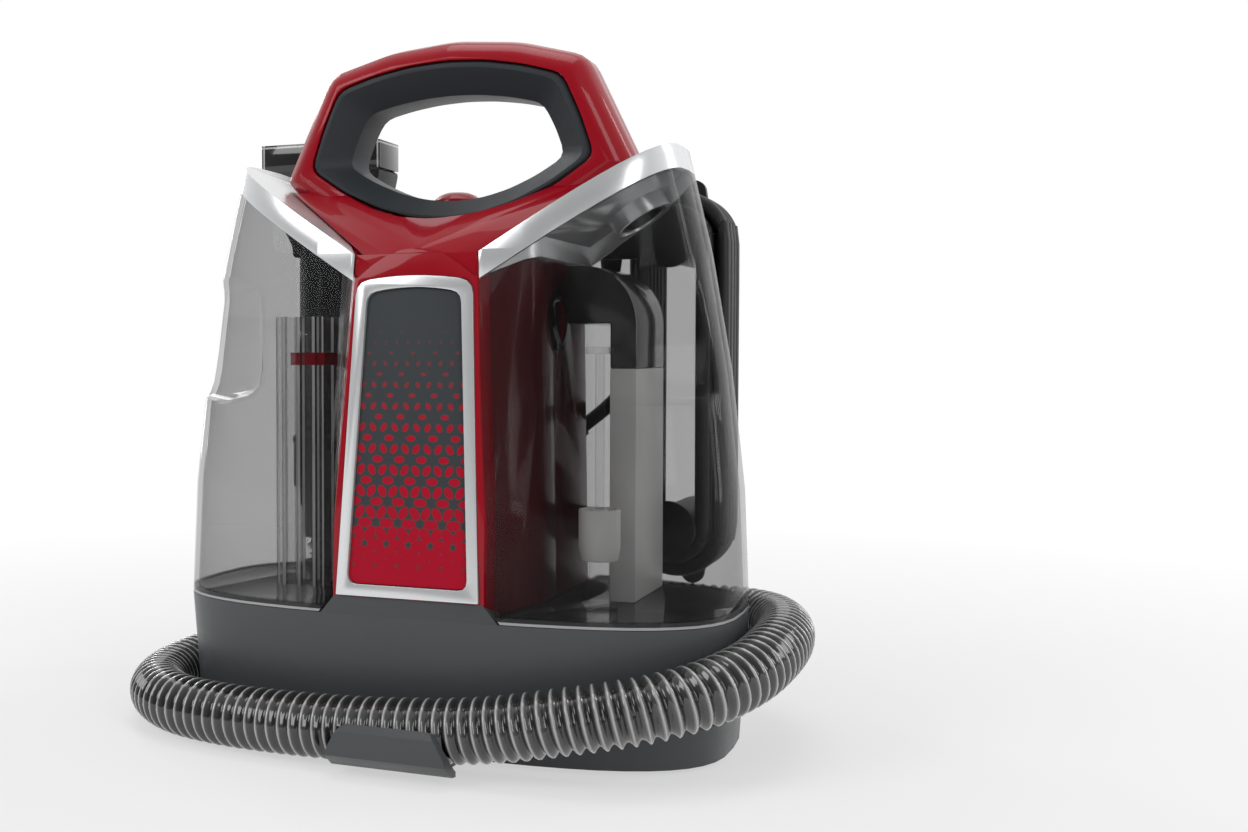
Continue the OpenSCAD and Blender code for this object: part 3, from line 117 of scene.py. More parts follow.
# The surround is white wherever it is seen, and a mirror finish also meets the dimmer front half
# of the room, where only the lamps are bright.
fill_share, front_share, front_y, back_y = 0.42, 0.14, -0.9, 0.6
surround = bpy.data.worlds.new("white_surround")
bpy.context.scene.world = surround
surround.use_nodes = True
tree = surround.node_tree
tree.nodes.clear()
path = add_node(tree, "ShaderNodeLightPath").outputs
seen = combine(tree, path["Is Camera Ray"], path["Is Transmission Ray"], "MAXIMUM")
mirrored = between(tree, coordinates(tree, "Generated")["Y"], front_y, back_y, front_share, 1.0)
unseen = mixed(tree, path["Is Glossy Ray"], fill_share, mirrored, "FLOAT")
level = mixed(tree, seen, unseen, 1.0, "FLOAT")
white = add_node(tree, "ShaderNodeBackground", {"Color": (1, 1, 1, 1), "Strength": level})
add_node(tree, "ShaderNodeOutputWorld", {"Surface": white.outputs[0]})

# The floor takes shadows close to the machine and whitens outwards until it meets the surround
sweep_size, sweep_drop = 14.0, 0.4 * mm
glow_near, glow_far, glow_least = 0.22, 0.8, 0.55
bpy.ops.mesh.primitive_plane_add(size=sweep_size, location=(0, 0, -sweep_drop))
floor = bpy.context.object
floor.name = "studio_floor"
sweep = bpy.data.materials.new("pale_sweep")
sweep.use_nodes = True
tree = sweep.node_tree
tree.nodes.clear()
paper = add_node(tree, "ShaderNodeBsdfDiffuse", {"Color": (0.86, 0.86, 0.86, 1)})
glow = add_node(tree, "ShaderNodeEmission", {"Color": (1, 1, 1, 1), "Strength": 1.0})
spot = add_node(tree, "ShaderNodeTexCoord").outputs["Object"]
reach = add_node(tree, "ShaderNodeVectorMath", {0: spot}, operation="LENGTH").outputs["Value"]
path = add_node(tree, "ShaderNodeLightPath").outputs
seen = combine(tree, path["Is Camera Ray"], path["Is Transmission Ray"], "MAXIMUM")
seen = combine(tree, seen, path["Is Glossy Ray"], "MAXIMUM")
share = combine(tree, seen, between(tree, reach, glow_near, glow_far, glow_least, 1.0), "MULTIPLY")
both = add_node(tree, "ShaderNodeMixShader", {0: share, 1: paper.outputs[0], 2: glow.outputs[0]})
add_node(tree, "ShaderNodeOutputMaterial", {"Surface": both.outputs[0]})
floor.data.materials.append(sweep)

lit_point = Vector((0, 0, 0.15))
for name, place, size_x, size_y, watts in [
        ("key_left", (-0.95, -1.15, 1.05), 0.8, 0.8, 7.2),
        ("fill_right", (1.25, -0.85, 0.75), 0.4, 1.0, 4.5),
        ("top_soft", (0.0, 0.15, 1.5), 1.0, 0.7, 4.0),
        ("strip_behind_left", (-0.9, 0.75, 0.55), 0.14, 1.0, 2.5),
        ("strip_behind_right", (0.95, 0.7, 0.55), 0.14, 1.0, 2.5)]:
    bpy.ops.object.light_add(type="AREA", location=place)
    lamp = bpy.context.object
    lamp.name = name
    lamp.data.shape = "RECTANGLE"
    lamp.data.size, lamp.data.size_y = size_x, size_y
    lamp.data.energy = watts
    lamp.rotation_euler = (lit_point - Vector(place)).to_track_quat("-Z", "Y").to_euler()

# ---- Suction hose ----
# Spiral-wound PVC hose, with painted shade making it nearly black in the grooves and a painted highlight
# making it light grey along the crests of its ribs. It leaves the port at the rear left, goes once round the
# base through the clip, and ends in the wand.
hose_across, hose_bore, hose_ribs = 27.0 * mm, 19.0 * mm, 140
hose_groove, crest_width = 2.4 * mm, 0.16
hose_route = [Vector(p) * mm for p in [
    (-36, 82, 45), (-16, 82, 45), (20, 82, 45), (55, 82, 45), (85, 82, 45), (110, 79.5, 45.5),
    (128, 68, 46), (139, 49, 46.5), (144.5, 24, 46.5), (144.5, -4, 45), (139, -31, 41.5),
    (126, -54, 37), (105, -69, 32), (75, -77, 26.5), (42, -80, 20.5), (12, -81, 17.5),
    (-20, -80.5, 15.5), (-52, -79, 14.5), (-84, -75, 14), (-113, -66, 14), (-135, -48, 14),
    (-147, -24, 14), (-151, 4, 14.5), (-148, 34, 16), (-139, 60, 21), (-127, 78, 31),
    (-117, 87, 46), (-114, 88, 60), (-114, 88, 68), (-114, 88, 71.9)]]


def curve_through(points, per_span):
    """A smooth line through given points, with so many steps from each point to the next."""
    line = []
    for i in range(len(points) - 1):
        a, b = points[max(i - 1, 0)], points[i]
        c, d = points[i + 1], points[min(i + 2, len(points) - 1)]
        for k in range(per_span):
            t = k / per_span
            line.append(0.5 * (2 * b + (c - a) * t + (2 * a - 5 * b + 4 * c - d) * t ** 2
                               + (3 * b - a - 3 * c + d) * t ** 3))
    return line + [points[-1]]


def evenly(line, steps):
    """The same line with equal steps, and its length."""
    reach = [0.0]
    for a, b in zip(line, line[1:]):
        reach.append(reach[-1] + (b - a).length)
    made, i = [], 0
    for k in range(steps + 1):
        want = reach[-1] * k / steps
        while i < len(line) - 2 and reach[i + 1] < want:
            i += 1
        made.append(line[i].lerp(line[i + 1], (want - reach[i]) / (reach[i + 1] - reach[i])))
    return made, reach[-1]


def side_axes(line):
    """Two axes across the line at each point, carried along so that they don't twist."""
    axes, across = [], None
    for i in range(len(line)):
        along = (line[min(i + 1, len(line) - 1)] - line[max(i - 1, 0)]).normalized()
        if across is None:
            across = along.cross(Vector((0, 0, 1) if abs(along.z) < 0.9 else (0, 1, 0)))
        across = (across - along * across.dot(along)).normalized()
        axes.append((across, along.cross(across)))
    return axes


def rib_height(turn):
    """Height of the wall over its groove, 0 to 1, for a share of a turn of the helix."""
    return min(1.0, 0.5 - 0.5 * math.cos(2 * math.pi * turn)
               + crest_width * (0.5 - 0.5 * math.cos(6 * math.pi * turn)))


rings_per_rib, sides, hose_span_steps = 8, 32, 12
hose_line, hose_length = evenly(curve_through(hose_route, hose_span_steps), hose_ribs * rings_per_rib)
hose_axes = side_axes(hose_line)
bore_line, bore_axes = hose_line[::rings_per_rib], hose_axes[::rings_per_rib]
points, faces, turns = [], [], []


def around(centre, axes, k, radius):
    """Point k of the ring round a centre."""
    angle = 2 * math.pi * k / sides
    return centre + (axes[0] * math.cos(angle) + axes[1] * math.sin(angle)) * radius


for i, (centre, axes) in enumerate(zip(hose_line, hose_axes)):
    for k in range(sides):
        depth = hose_groove * (1 - rib_height((i / rings_per_rib - k / sides) % 1.0))
        points.append(around(centre, axes, k, hose_across / 2 - depth))
bore_start = len(points)
for centre, axes in zip(bore_line, bore_axes):
    points += [around(centre, axes, k, hose_bore / 2) for k in range(sides)]
for i in range(len(hose_line) - 1):
    for k in range(sides):
        a, b = i * sides + k, i * sides + (k + 1) % sides
        faces.append((a, b, b + sides, a + sides))
        turns.append([(i + s) / rings_per_rib - (k + e) / sides for s, e in ((0, 0), (0, 1), (1, 1), (1, 0))])
on_crest = [0.5] * 4
for i in range(len(bore_line) - 1):
    for k in range(sides):
        a, b = bore_start + i * sides + k, bore_start + i * sides + (k + 1) % sides
        faces.append((b, a, a + sides, b + sides))
        turns.append(on_crest)
last, bore_last = (len(hose_line) - 1) * sides, bore_start + (len(bore_line) - 1) * sides
for k in range(sides):
    j = (k + 1) % sides
    faces += [(j, k, bore_start + k, bore_start + j), (last + k, last + j, bore_last + j, bore_last + k)]
    turns += [on_crest, on_crest]
hose_mesh = bpy.data.meshes.new("ribbed_hose")
hose_mesh.from_pydata(points, [], faces)
wrap = hose_mesh.uv_layers.new(name="helix")
for face, share_of_turn in zip(hose_mesh.polygons, turns):
    for loop, turn in zip(face.loop_indices, share_of_turn):
        wrap.data[loop].uv = (turn, 0.0)
hose = bpy.data.objects.new("ribbed_hose", hose_mesh)
bpy.context.scene.collection.objects.link(hose)


def select_only(piece):
    """Selects one piece and makes it the one that the next edits work on."""
    bpy.ops.object.select_all(action="DESELECT")
    piece.select_set(True)
    bpy.context.view_layer.objects.active = piece


select_only(hose)
bpy.ops.object.shade_smooth()


def shader_group(name, inputs, outputs):
    """An empty group with named sockets; inputs are (name, kind, value)."""
    group = bpy.data.node_groups.new(name, "ShaderNodeTree")
    for socket, kind, value in inputs:
        made = group.interface.new_socket(socket, in_out="INPUT", socket_type="NodeSocket" + kind)
        made.default_value = value
    for socket, kind in outputs:
        group.interface.new_socket(socket, in_out="OUTPUT", socket_type="NodeSocket" + kind)
    return group, add_node(group, "NodeGroupInput").outputs


# Moulded plastic: a spark-eroded grain, slow mottling of the tone, and faint wiping marks
mottle_scale, wipe_scale, grain_height = 22.0, (40.0, 40.0, 420.0), 0.3 * mm
moulded, given = shader_group("moulded_skin", [
    ("Colour", "Color", (0.1, 0.1, 0.1, 1)), ("Mottle", "Float", 0.1), ("Roughness", "Float", 0.4),
    ("Unevenness", "Float", 0.1), ("Grain", "Float", 900.0), ("Depth", "Float", 0.1)],
    [("Colour", "Color"), ("Roughness", "Float"), ("Normal", "Vector")])
place = add_node(moulded, "ShaderNodeTexCoord").outputs["Object"]
slow = add_node(moulded, "ShaderNodeTexNoise", {"Vector": place, "Scale": mottle_scale, "Detail": 3.0})
grain = add_node(moulded, "ShaderNodeTexNoise", {"Vector": place, "Scale": given["Grain"], "Detail": 2.0})
stretch = add_node(moulded, "ShaderNodeMapping", {"Vector": place, "Scale": wipe_scale})
wiped = add_node(moulded, "ShaderNodeTexNoise", {"Vector": stretch.outputs[0], "Scale": 1.0, "Detail": 4.0})
swing = combine(moulded, combine(moulded, slow.outputs["Fac"], -0.5), given["Mottle"], "MULTIPLY")
tone = add_node(moulded, "ShaderNodeVectorMath", {0: given["Colour"], "Scale": combine(moulded, swing, 1.0)},
                operation="SCALE")
uneven = combine(moulded, combine(moulded, wiped.outputs["Fac"], -0.5), given["Unevenness"], "MULTIPLY")
rough = add_node(moulded, "ShaderNodeMath", {0: given["Roughness"], 1: uneven},
                 operation="ADD", use_clamp=True)
bump = add_node(moulded, "ShaderNodeBump", {"Strength": given["Depth"], "Distance": grain_height,
                "Height": grain.outputs["Fac"]})
add_node(moulded, "NodeGroupOutput", {"Colour": tone.outputs[0], "Roughness": rough.outputs[0],
         "Normal": bump.outputs[0]})


def skinned(name, colour, roughness, mottle, unevenness, grain, depth):
    """A new material whose tone and roughness come from the moulded skin, with its skin node and the
    inputs of its shader."""
    material = bpy.data.materials.new(name)
    material.use_nodes = True
    tree = material.node_tree
    shader = tree.nodes["Principled BSDF"]
    skin = add_node(tree, "ShaderNodeGroup", {
        "Colour": (*colour, 1), "Mottle": mottle, "Roughness": roughness,
        "Unevenness": unevenness, "Grain": grain, "Depth": depth}, node_tree=moulded)
    tree.links.new(skin.outputs["Colour"], shader.inputs["Base Color"])
    tree.links.new(skin.outputs["Roughness"], shader.inputs["Roughness"])
    return material, skin, shader.inputs


def moulded_plastic(name, colour, roughness=0.4, grain=900.0, depth=0.1, mottle=0.12, unevenness=0.12,
                    metallic=0.0, coat=0.0, coat_roughness=0.05, shine=0.35):
    """A plastic, rubber or metal finish: the skin above, and a lacquer where it has one."""
    material, skin, look = skinned(name, colour, roughness, mottle, unevenness, grain, depth)
    material.node_tree.links.new(skin.outputs["Normal"], look["Normal"])
    look["Metallic"].default_value = metallic
    look["Specular IOR Level"].default_value = 0.5 if metallic else shine
    look["Coat Weight"].default_value = coat
    look["Coat Roughness"].default_value = coat_roughness
    return material


def colour_ramp(tree, value, stops, interpolation="LINEAR"):
    """The outputs of a ramp over a value; each stop is its place and its colour."""
    ramp = add_node(tree, "ShaderNodeValToRGB", {0: value})
    ramp.color_ramp.interpolation = interpolation
    for spot, _ in stops[1:-1]:
        ramp.color_ramp.elements.new(spot)
    for element, (spot, colour) in zip(ramp.color_ramp.elements, stops):
        element.position, element.color = spot, colour
    return ramp.outputs


# The wall's tone follows the helix in place of one plain tone, with painted shade in the groove and a painted
# highlight along the crest: a share of a turn of 0 or 1 is the groove, and 0.5 is the crest of the rib
pvc = moulded_plastic("clear_grey_hose_wall", (0.16, 0.16, 0.165), roughness=0.16, depth=0.02, coat=1.0,
                      coat_roughness=0.04, shine=0.5)
tree = pvc.node_tree
helix_map = add_node(tree, "ShaderNodeUVMap", uv_map="helix")
turn = add_node(tree, "ShaderNodeSeparateXYZ", {0: helix_map.outputs[0]}).outputs["X"]
turn_share = add_node(tree, "ShaderNodeMath", {0: turn}, operation="FRACT").outputs[0]
# Painted shade, nearly black, in the grooves and a painted highlight, light grey, along the crests
groove_shade_crest_highlight = [(0.0, 0.010), (0.20, 0.022), (0.36, 0.045), (0.45, 0.34), (0.50, 0.55), (0.55, 0.30),
               (0.66, 0.05), (1.0, 0.010)]
stops = [(spot, (shade, shade, shade * 0.99, 1)) for spot, shade in groove_shade_crest_highlight]
painted_rib_light = colour_ramp(tree, turn_share, stops)
skin = next(n for n in tree.nodes if n.type == "GROUP")
tree.links.new(painted_rib_light[0], skin.inputs["Colour"])
hose.data.materials.append(pvc)
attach(hose, "base")
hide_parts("hose")

# ---- Power cord ----
# Two-core 7 mm mains cord with a smooth black PVC sheath. It leaves the back through a rubber strain
# relief, is wound ten times round two posts, the last four turns over the first six, and has a plug.
cord_across, post_x, post_low, post_high = 7.0 * mm, 81 * mm, 87 * mm, 228 * mm
turns_in, turns_out, lap_steps, climb = 6, 4, 24, 12
wind_start, wind_pitch = 73 * mm, 7.5 * mm
post_radius, post_gap, layer_gap = 10.5 * mm, 0.8 * mm, 0.6 * mm
inner_radius = post_radius + post_gap + cord_across / 2
outer_radius = inner_radius + cord_across + layer_gap
back_off, back_off_steps, cord_span_steps = 0.9 * mm, 3, 3


def lap_point(i, radius, y):
    """A point of the winding, i steps along it: half a turn round each post and the runs between."""
    half_lap = lap_steps // 2
    at_low_post, k = divmod(i % lap_steps, half_lap)
    side = 1 if at_low_post else -1
    if k == half_lap - 1:
        return Vector((post_x - side * radius, y, (post_low + post_high) / 2))
    angle = math.pi * k / (half_lap - 2)
    return Vector((post_x + side * radius * math.cos(angle), y,
                   (post_low if at_low_post else post_high) - side * radius * math.sin(angle)))


# The inner layer runs to the back, the cord climbs over half a lap, and the outer layer returns
steps_in, steps_out = turns_in * lap_steps, turns_out * lap_steps
y_far = wind_start + wind_pitch * (turns_in - 0.5)
winding = [lap_point(i, inner_radius, wind_start + wind_pitch * i / lap_steps)
           for i in range(steps_in - climb + 1)]
for j in range(1, climb + 1):
    winding.append(lap_point(steps_in - climb + j, inner_radius + (outer_radius - inner_radius) * j / climb,
                             y_far + back_off * min(1, j / back_off_steps)))
for i in range(1, steps_out):
    winding.append(lap_point(steps_in + i, outer_radius,
                             y_far + back_off * (1 - min(1, i / climb)) - wind_pitch * i / lap_steps))
lead_in = [Vector(p) * mm for p in [(36, 73, 136), (41, 73, 139.8), (48, 73, 145.5), (56, 73, 154),
                                    (62, 73, 166), (65.2, 73, 180), (66.2, 73, 196)]]
tail_out = [Vector(p) * mm for p in [(57, 84.5, 168), (53, 86, 180), (49, 87, 192), (46.5, 87, 204),
                                     (46.5, 87, 212)]]
cord_smooth = curve_through(lead_in + winding + tail_out, cord_span_steps)
cord_data = bpy.data.curves.new("mains_cord", "CURVE")
cord_data.dimensions = "3D"
cord_data.bevel_depth = cord_across / 2
cord_data.bevel_resolution = 4
cord_data.use_fill_caps = True
strand = cord_data.splines.new("POLY")
strand.points.add(len(cord_smooth) - 1)
for spot, p in zip(strand.points, cord_smooth):
    spot.co = (*p, 1)
cord = bpy.data.objects.new("mains_cord", cord_data)
bpy.context.scene.collection.objects.link(cord)
sheath = moulded_plastic("cord_sheath", (0.018, 0.018, 0.019), roughness=0.42, grain=1400.0, depth=0.08)
cord_data.materials.append(sheath)
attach(cord, "base")
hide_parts("power_cord")

weld_distance, flat_angle = 0.002 * mm, math.radians(0.6)


def moulding(node, soften=0.5, segments=2, angle=34):
    """The node's own shape with its edges softened by so many millimetres."""
    source = frame["nodes"][node]
    piece = source.copy()
    piece.data = source.data.copy()
    piece.name = node + "_finished"
    piece.data.name = piece.name
    bpy.context.scene.collection.objects.link(piece)
    body = piece["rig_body"]
    piece.parent = None
    piece.matrix_world = Matrix.Identity(4)
    for key in list(piece.keys()):
        del piece[key]
    piece.data.materials.clear()
    select_only(piece)
    bpy.ops.mesh.customdata_custom_splitnormals_clear()
    bpy.ops.object.mode_set(mode="EDIT")
    bpy.ops.mesh.select_all(action="SELECT")
    bpy.ops.mesh.remove_doubles(threshold=weld_distance)
    bpy.ops.mesh.dissolve_limited(angle_limit=flat_angle)
    bpy.ops.object.mode_set(mode="OBJECT")
    if soften:
        edge = piece.modifiers.new("softened", "BEVEL")
        edge.width, edge.segments = soften * mm, segments
        edge.limit_method, edge.angle_limit = "ANGLE", math.radians(angle)
        edge.use_clamp_overlap = True
        bpy.ops.object.modifier_apply(modifier=edge.name)
    bpy.ops.object.shade_smooth_by_angle(angle=math.radians(angle))
    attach(piece, body)
    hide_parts(node)
    return piece


def dress(node, material, slot, soften, **how):
    """A finished copy of the node in its material."""
    piece = moulding(node, soften, **how)
    piece.data.materials.append(material)
    return piece


rubber = moulded_plastic("black_rubber", (0.009, 0.009, 0.010), roughness=0.6, grain=1200.0, depth=0.3,
                         shine=0.25)
dress("strain_relief", rubber, "rubber_black", 0.5)
plug = dress("cord_plug", rubber, "rubber_black", 0.7)

# ---- Base moulding, bottom plate and feet ----
# The base is one deep injection-moulded tub in slate-grey plastic with a fine eroded grain. A black
# plate closes it from below with four screws, and four rubber feet are pressed into the plate.
base_plastic = moulded_plastic("slate_grey_plastic", (0.080, 0.086, 0.090), roughness=0.36, grain=1500.0,
                               depth=0.2)
black_plastic = moulded_plastic("black_plastic", (0.014, 0.015, 0.016), roughness=0.4, grain=900.0,
                                depth=0.04, shine=0.3)
steel = moulded_plastic("plain_steel", (0.5, 0.5, 0.51), roughness=0.3, metallic=1.0, depth=0.05)
dress("base_housing", base_plastic, "base_plastic", 1.4, segments=3)
dress("bottom_plate", black_plastic, "dark_plastic", 0.3)
dress("rubber_feet", rubber, "rubber_black", 0.3)
dress("casing_screws", steel, "steel", 0.15)

# ---- Vacuum motor ----
# A bypass vacuum motor with its cast fan stands in a black cradle between two rubber dampers, held
# down by a clamp ring. None of it shows once the body is closed.
cast_metal = moulded_plastic("cast_aluminium", (0.6, 0.6, 0.61), roughness=0.45, metallic=1.0, depth=0.3)
dress("motor_cradle", black_plastic, "dark_plastic", 0.4)
dress("lower_damper", rubber, "rubber_black", 0.3)
dress("vacuum_motor", steel, "steel", 0.5)
dress("motor_shaft", steel, "steel", 0.2)
dress("fan", cast_metal, "aluminium_cast", 0.1)
dress("fan_housing", black_plastic, "dark_plastic", 0.4)
dress("upper_damper", rubber, "rubber_black", 0.3)
dress("motor_clamp", black_plastic, "dark_plastic", 0.3)

# ---- Water pump, heater and tubes ----
# The pump sits on a rubber mount in the base, the cast heater on two steel brackets beside it, and
# silicone tubes join the tank valve, the pump, the heater and the hose port.
silicone = moulded_plastic("milky_silicone", (0.55, 0.57, 0.57), roughness=0.4, depth=0.05)
dress("water_pump", black_plastic, "dark_plastic", 0.4)
dress("pump_mount", rubber, "rubber_black", 0.3)
dress("water_heater", cast_metal, "aluminium_cast", 0.5)
dress("heater_brackets", steel, "steel", 0.2)
dress("water_tubes", silicone, "silicone", 0.0)

# ---- Suction duct and the seats on the deck ----
# A black moulded duct runs from the dirty tank's foot to the hose port. The clean tank's valve
# seat snaps into the deck, and a rubber gasket seals the air port in the column's side.
dress("suction_duct", black_plastic, "dark_plastic", 0.4)
dress("tank_valve_seat", black_plastic, "dark_plastic", 0.3)
dress("air_gasket", rubber, "rubber_black", 0.2)

# ---- Body shells ----
# Front and rear halves of the column and loop handle, moulded in red ABS with a deep gloss finish
# and screwed together along the middle of the handle.
gloss_red = moulded_plastic("gloss_red_lacquer", (0.35, 0.0018, 0.0115), roughness=0.3, grain=500.0,
                            depth=0.02, mottle=0.06, unevenness=0.05, coat=0.42, coat_roughness=0.04,
                            shine=0.12)
for node in ("front_shell", "rear_shell"):
    dress(node, gloss_red, "red_gloss", 0.7, segments=3, angle=40)

# ---- Handle lining ----
# A ring of soft dark-grey elastomer that lines the opening of the handle, moulded over a stiff core
# and pressed in between the two shells.
grip_rubber = moulded_plastic("soft_grip_rubber", (0.036, 0.042, 0.047), roughness=0.42, grain=2200.0,
                              depth=0.2, shine=0.2)
dress("grip_lining", grip_rubber, "soft_grip", 0.8, segments=3)

# ---- Bezel and front panel ----
# A satin-silver frame clips over a dark matt inlay. The inlay is printed with red petals that grow
# towards its foot until they join into solid red.
silver = moulded_plastic("satin_silver", (0.80, 0.81, 0.82), roughness=0.24, grain=1800.0, depth=0.01,
                         mottle=0.03, unevenness=0.02, metallic=0.6)
dress("front_bezel", silver, "silver_plastic", 0.9, segments=3)
panel = moulding("front_panel", soften=0.2)
print_material = bpy.data.materials.new("petal_print")
print_material.use_nodes = True
tree = print_material.node_tree
shader = tree.nodes["Principled BSDF"]
shader.inputs["Roughness"].default_value = 0.5
shader.inputs["Specular IOR Level"].default_value = 0.15
axes = coordinates(tree)
petal_pitch, petal_row, petal_slimness, cells_below_zero = 10.3 * mm, 9.1 * mm, 1.55, 40


def nearest_petal(turned, shift_x, shift_z):
    """How far a point is from the nearest petal's middle, as a share of the pitch. A petal lies along
    each side of a net of triangles, and this takes those that lie the same way."""
    found = None
    for half in (0.0, 0.5):
        steps = []
        for axis, pitch, shift in (("X", petal_pitch, shift_x + half), ("Z", 2 * petal_row, shift_z + half)):
            scaled = add_node(tree, "ShaderNodeMath", {
                0: axes[axis], 1: 1 / pitch, 2: cells_below_zero + 0.5 - shift}, operation="MULTIPLY_ADD")
            cell = add_node(tree, "ShaderNodeMath", {0: scaled.outputs[0]}, operation="FRACT")
            steps.append(combine(tree, combine(tree, cell.outputs[0], -0.5), pitch / petal_pitch, "MULTIPLY"))
        spot = add_node(tree, "ShaderNodeCombineXYZ", {0: steps[0], 1: steps[1]})
        lying = add_node(tree, "ShaderNodeVectorRotate", {0: spot.outputs[0], "Angle": math.radians(-turned)},
                         rotation_type="Z_AXIS")
        slim = add_node(tree, "ShaderNodeVectorMath", {0: lying.outputs[0], 1: (1.0, petal_slimness, 1.0)},
                        operation="MULTIPLY")
        far = add_node(tree, "ShaderNodeVectorMath", {0: slim.outputs[0]}, operation="LENGTH")
        far = far.outputs["Value"]
        found = far if found is None else combine(tree, found, far, "MINIMUM")
    return found


# Half a petal's length is a share of the pitch: size_top at the top, size_middle in the middle and
# size_added more at the foot. The uppermost petals are printed fainter.
print_foot, print_middle, print_top = 74 * mm, 104 * mm, 190 * mm
size_top, size_middle, size_added, ink_edge = 0.04, 0.29, 0.21, 0.04
fade_top, fade_foot = 188 * mm, 138 * mm
panel_slate, panel_red = (0.050, 0.057, 0.061, 1), (0.46, 0.003, 0.023, 1)
nearest = nearest_petal(0, 0.5, 0.0)
for turned, shift_x in ((60, 0.25), (-60, 0.75)):
    nearest = combine(tree, nearest, nearest_petal(turned, shift_x, 0.25), "MINIMUM")
growth = combine(tree, between(tree, axes["Z"], print_top, print_middle, size_top, size_middle),
                 between(tree, axes["Z"], print_middle, print_foot, 0.0, size_added))
ink = between(tree, combine(tree, growth, nearest, "SUBTRACT"), -ink_edge, ink_edge)
strength = combine(tree, ink, between(tree, axes["Z"], fade_top, fade_foot), "MULTIPLY")
tree.links.new(mixed(tree, strength, panel_slate, panel_red), shader.inputs["Base Color"])
panel.data.materials.append(print_material)

# ---- Power button ----
# A round red push button in the deck behind the handle, over a switch that hangs from two legs.
dress("power_button", gloss_red, "red_gloss", 0.4)
dress("switch_module", black_plastic, "dark_plastic", 0.3)

# ---- Rear cover and cord hooks ----
# The louvred rear cover and both cord hooks are black mouldings, screwed to the rear shell. The upper
# hook turns on its pivot to drop the whole winding at once.
dress("rear_cover", black_plastic, "dark_plastic", 0.6)
dress("cord_hook_lower", black_plastic, "dark_plastic", 0.7)
dress("cord_hook_upper", black_plastic, "dark_plastic", 0.7)
dress("cord_hook_pivot", black_plastic, "dark_plastic", 0.5)

# ---- Hose port, cuff and clip ----
# The port elbow and the wand's cuff are black mouldings that the hose is pushed into. The clip that
# holds the hose in front is moulded in the base's grey and screwed under the rim.
dress("hose_port", black_plastic, "dark_plastic", 0.6)
dress("hose_cuff", black_plastic, "dark_plastic", 0.6)
dress("hose_cradle", base_plastic, "dark_plastic", 1.8, segments=4)

# ---- Clean water tank ----
# A blow-moulded tank in smoked clear plastic with a silver cover along its sloping top, a filling cap
# in the cover, a ribbed clear column inside and a spring valve in its floor.
clear_roughness, clear_shine, edge_falloff = 0.03, 0.2, 4.0


def clear_plastic(name, colour, face_on, edge_on):
    """Tinted clear plastic: thin seen face on, denser towards its edges, as a thick wall looks."""
    material, _, look = skinned(name, colour, clear_roughness, mottle=0.25, unevenness=0.04, grain=60.0,
                                depth=0.01)
    tree = material.node_tree
    tilt = add_node(tree, "ShaderNodeLayerWeight", {"Blend": 0.5}).outputs["Facing"]
    density = between(tree, combine(tree, tilt, edge_falloff, "POWER"), 0.0, 1.0, face_on, edge_on)
    tree.links.new(density, look["Alpha"])
    look["Specular IOR Level"].default_value = clear_shine
    return material


def overlay(material, share, colour, density=None):
    """Lays a second tone over a plastic where share is 1, and its density where that is given."""
    tree = material.node_tree
    look = tree.nodes["Principled BSDF"].inputs
    tone = mixed(tree, share, look["Base Color"].links[0].from_socket, (*colour, 1))
    tree.links.new(tone, look["Base Color"])
    if density is not None:
        laid = mixed(tree, share, look["Alpha"].links[0].from_socket, density, "FLOAT")
        tree.links.new(laid, look["Alpha"])


def band(tree, value, low, high, edge):
    """1 where a value lies from low to high, rising and falling over a short edge."""
    return combine(tree, between(tree, value, low, low + edge),
                   between(tree, value, high, high + edge, 1.0, 0.0), "MULTIPLY")


# Both tanks are dark in their thick floor, with a painted highlight as a light line round the rim below it,
# and a painted highlight on the face where the finger recess turns downward. A face's upward share is 0 on a
# wall and -1 below.
floor_top, floor_edge, rim_top, rim_edge = 62.6 * mm, 1 * mm, 61.3 * mm, 0.2 * mm
recess_low, recess_high, recess_edge = 110 * mm, 190 * mm, 1 * mm
underside, wall, ceiling, recess_wall = -0.6, -0.4, -0.50, -0.15
tank_clear = clear_plastic("smoked_clear_tank", (0.012, 0.012, 0.013), face_on=0.24, edge_on=0.60)
tree = tank_clear.node_tree
height, upward = coordinates(tree)["Z"], coordinates(tree, "Normal")["Z"]
in_floor = between(tree, height, floor_top, floor_top + floor_edge, 1.0, 0.0)
in_rim = between(tree, height, rim_top, rim_top + rim_edge, 1.0, 0.0)
in_recess = band(tree, height, recess_low, recess_high, recess_edge)
painted_rim_highlight = combine(tree, in_rim, between(tree, upward, underside, wall), "MULTIPLY")
painted_recess_highlight = combine(tree, in_recess, between(tree, upward, ceiling, recess_wall, 1.0, 0.0), "MULTIPLY")
overlay(tank_clear, in_floor, (0.030, 0.031, 0.033), density=0.82)
# Painted highlights: a light line along each tank's foot, and a bright face where the recess turns downward
overlay(tank_clear, painted_rim_highlight, (0.50, 0.50, 0.51), density=0.85)
overlay(tank_clear, painted_recess_highlight, (0.70, 0.70, 0.71), density=0.75)
dress("clean_tank", tank_clear, "clear_tank", 0.5)
dress("clean_tank_cover", silver, "silver_plastic", 0.7)
dress("fill_cap", black_plastic, "dark_plastic", 0.5)
dress("valve_plunger", rubber, "rubber_black", 0.3)

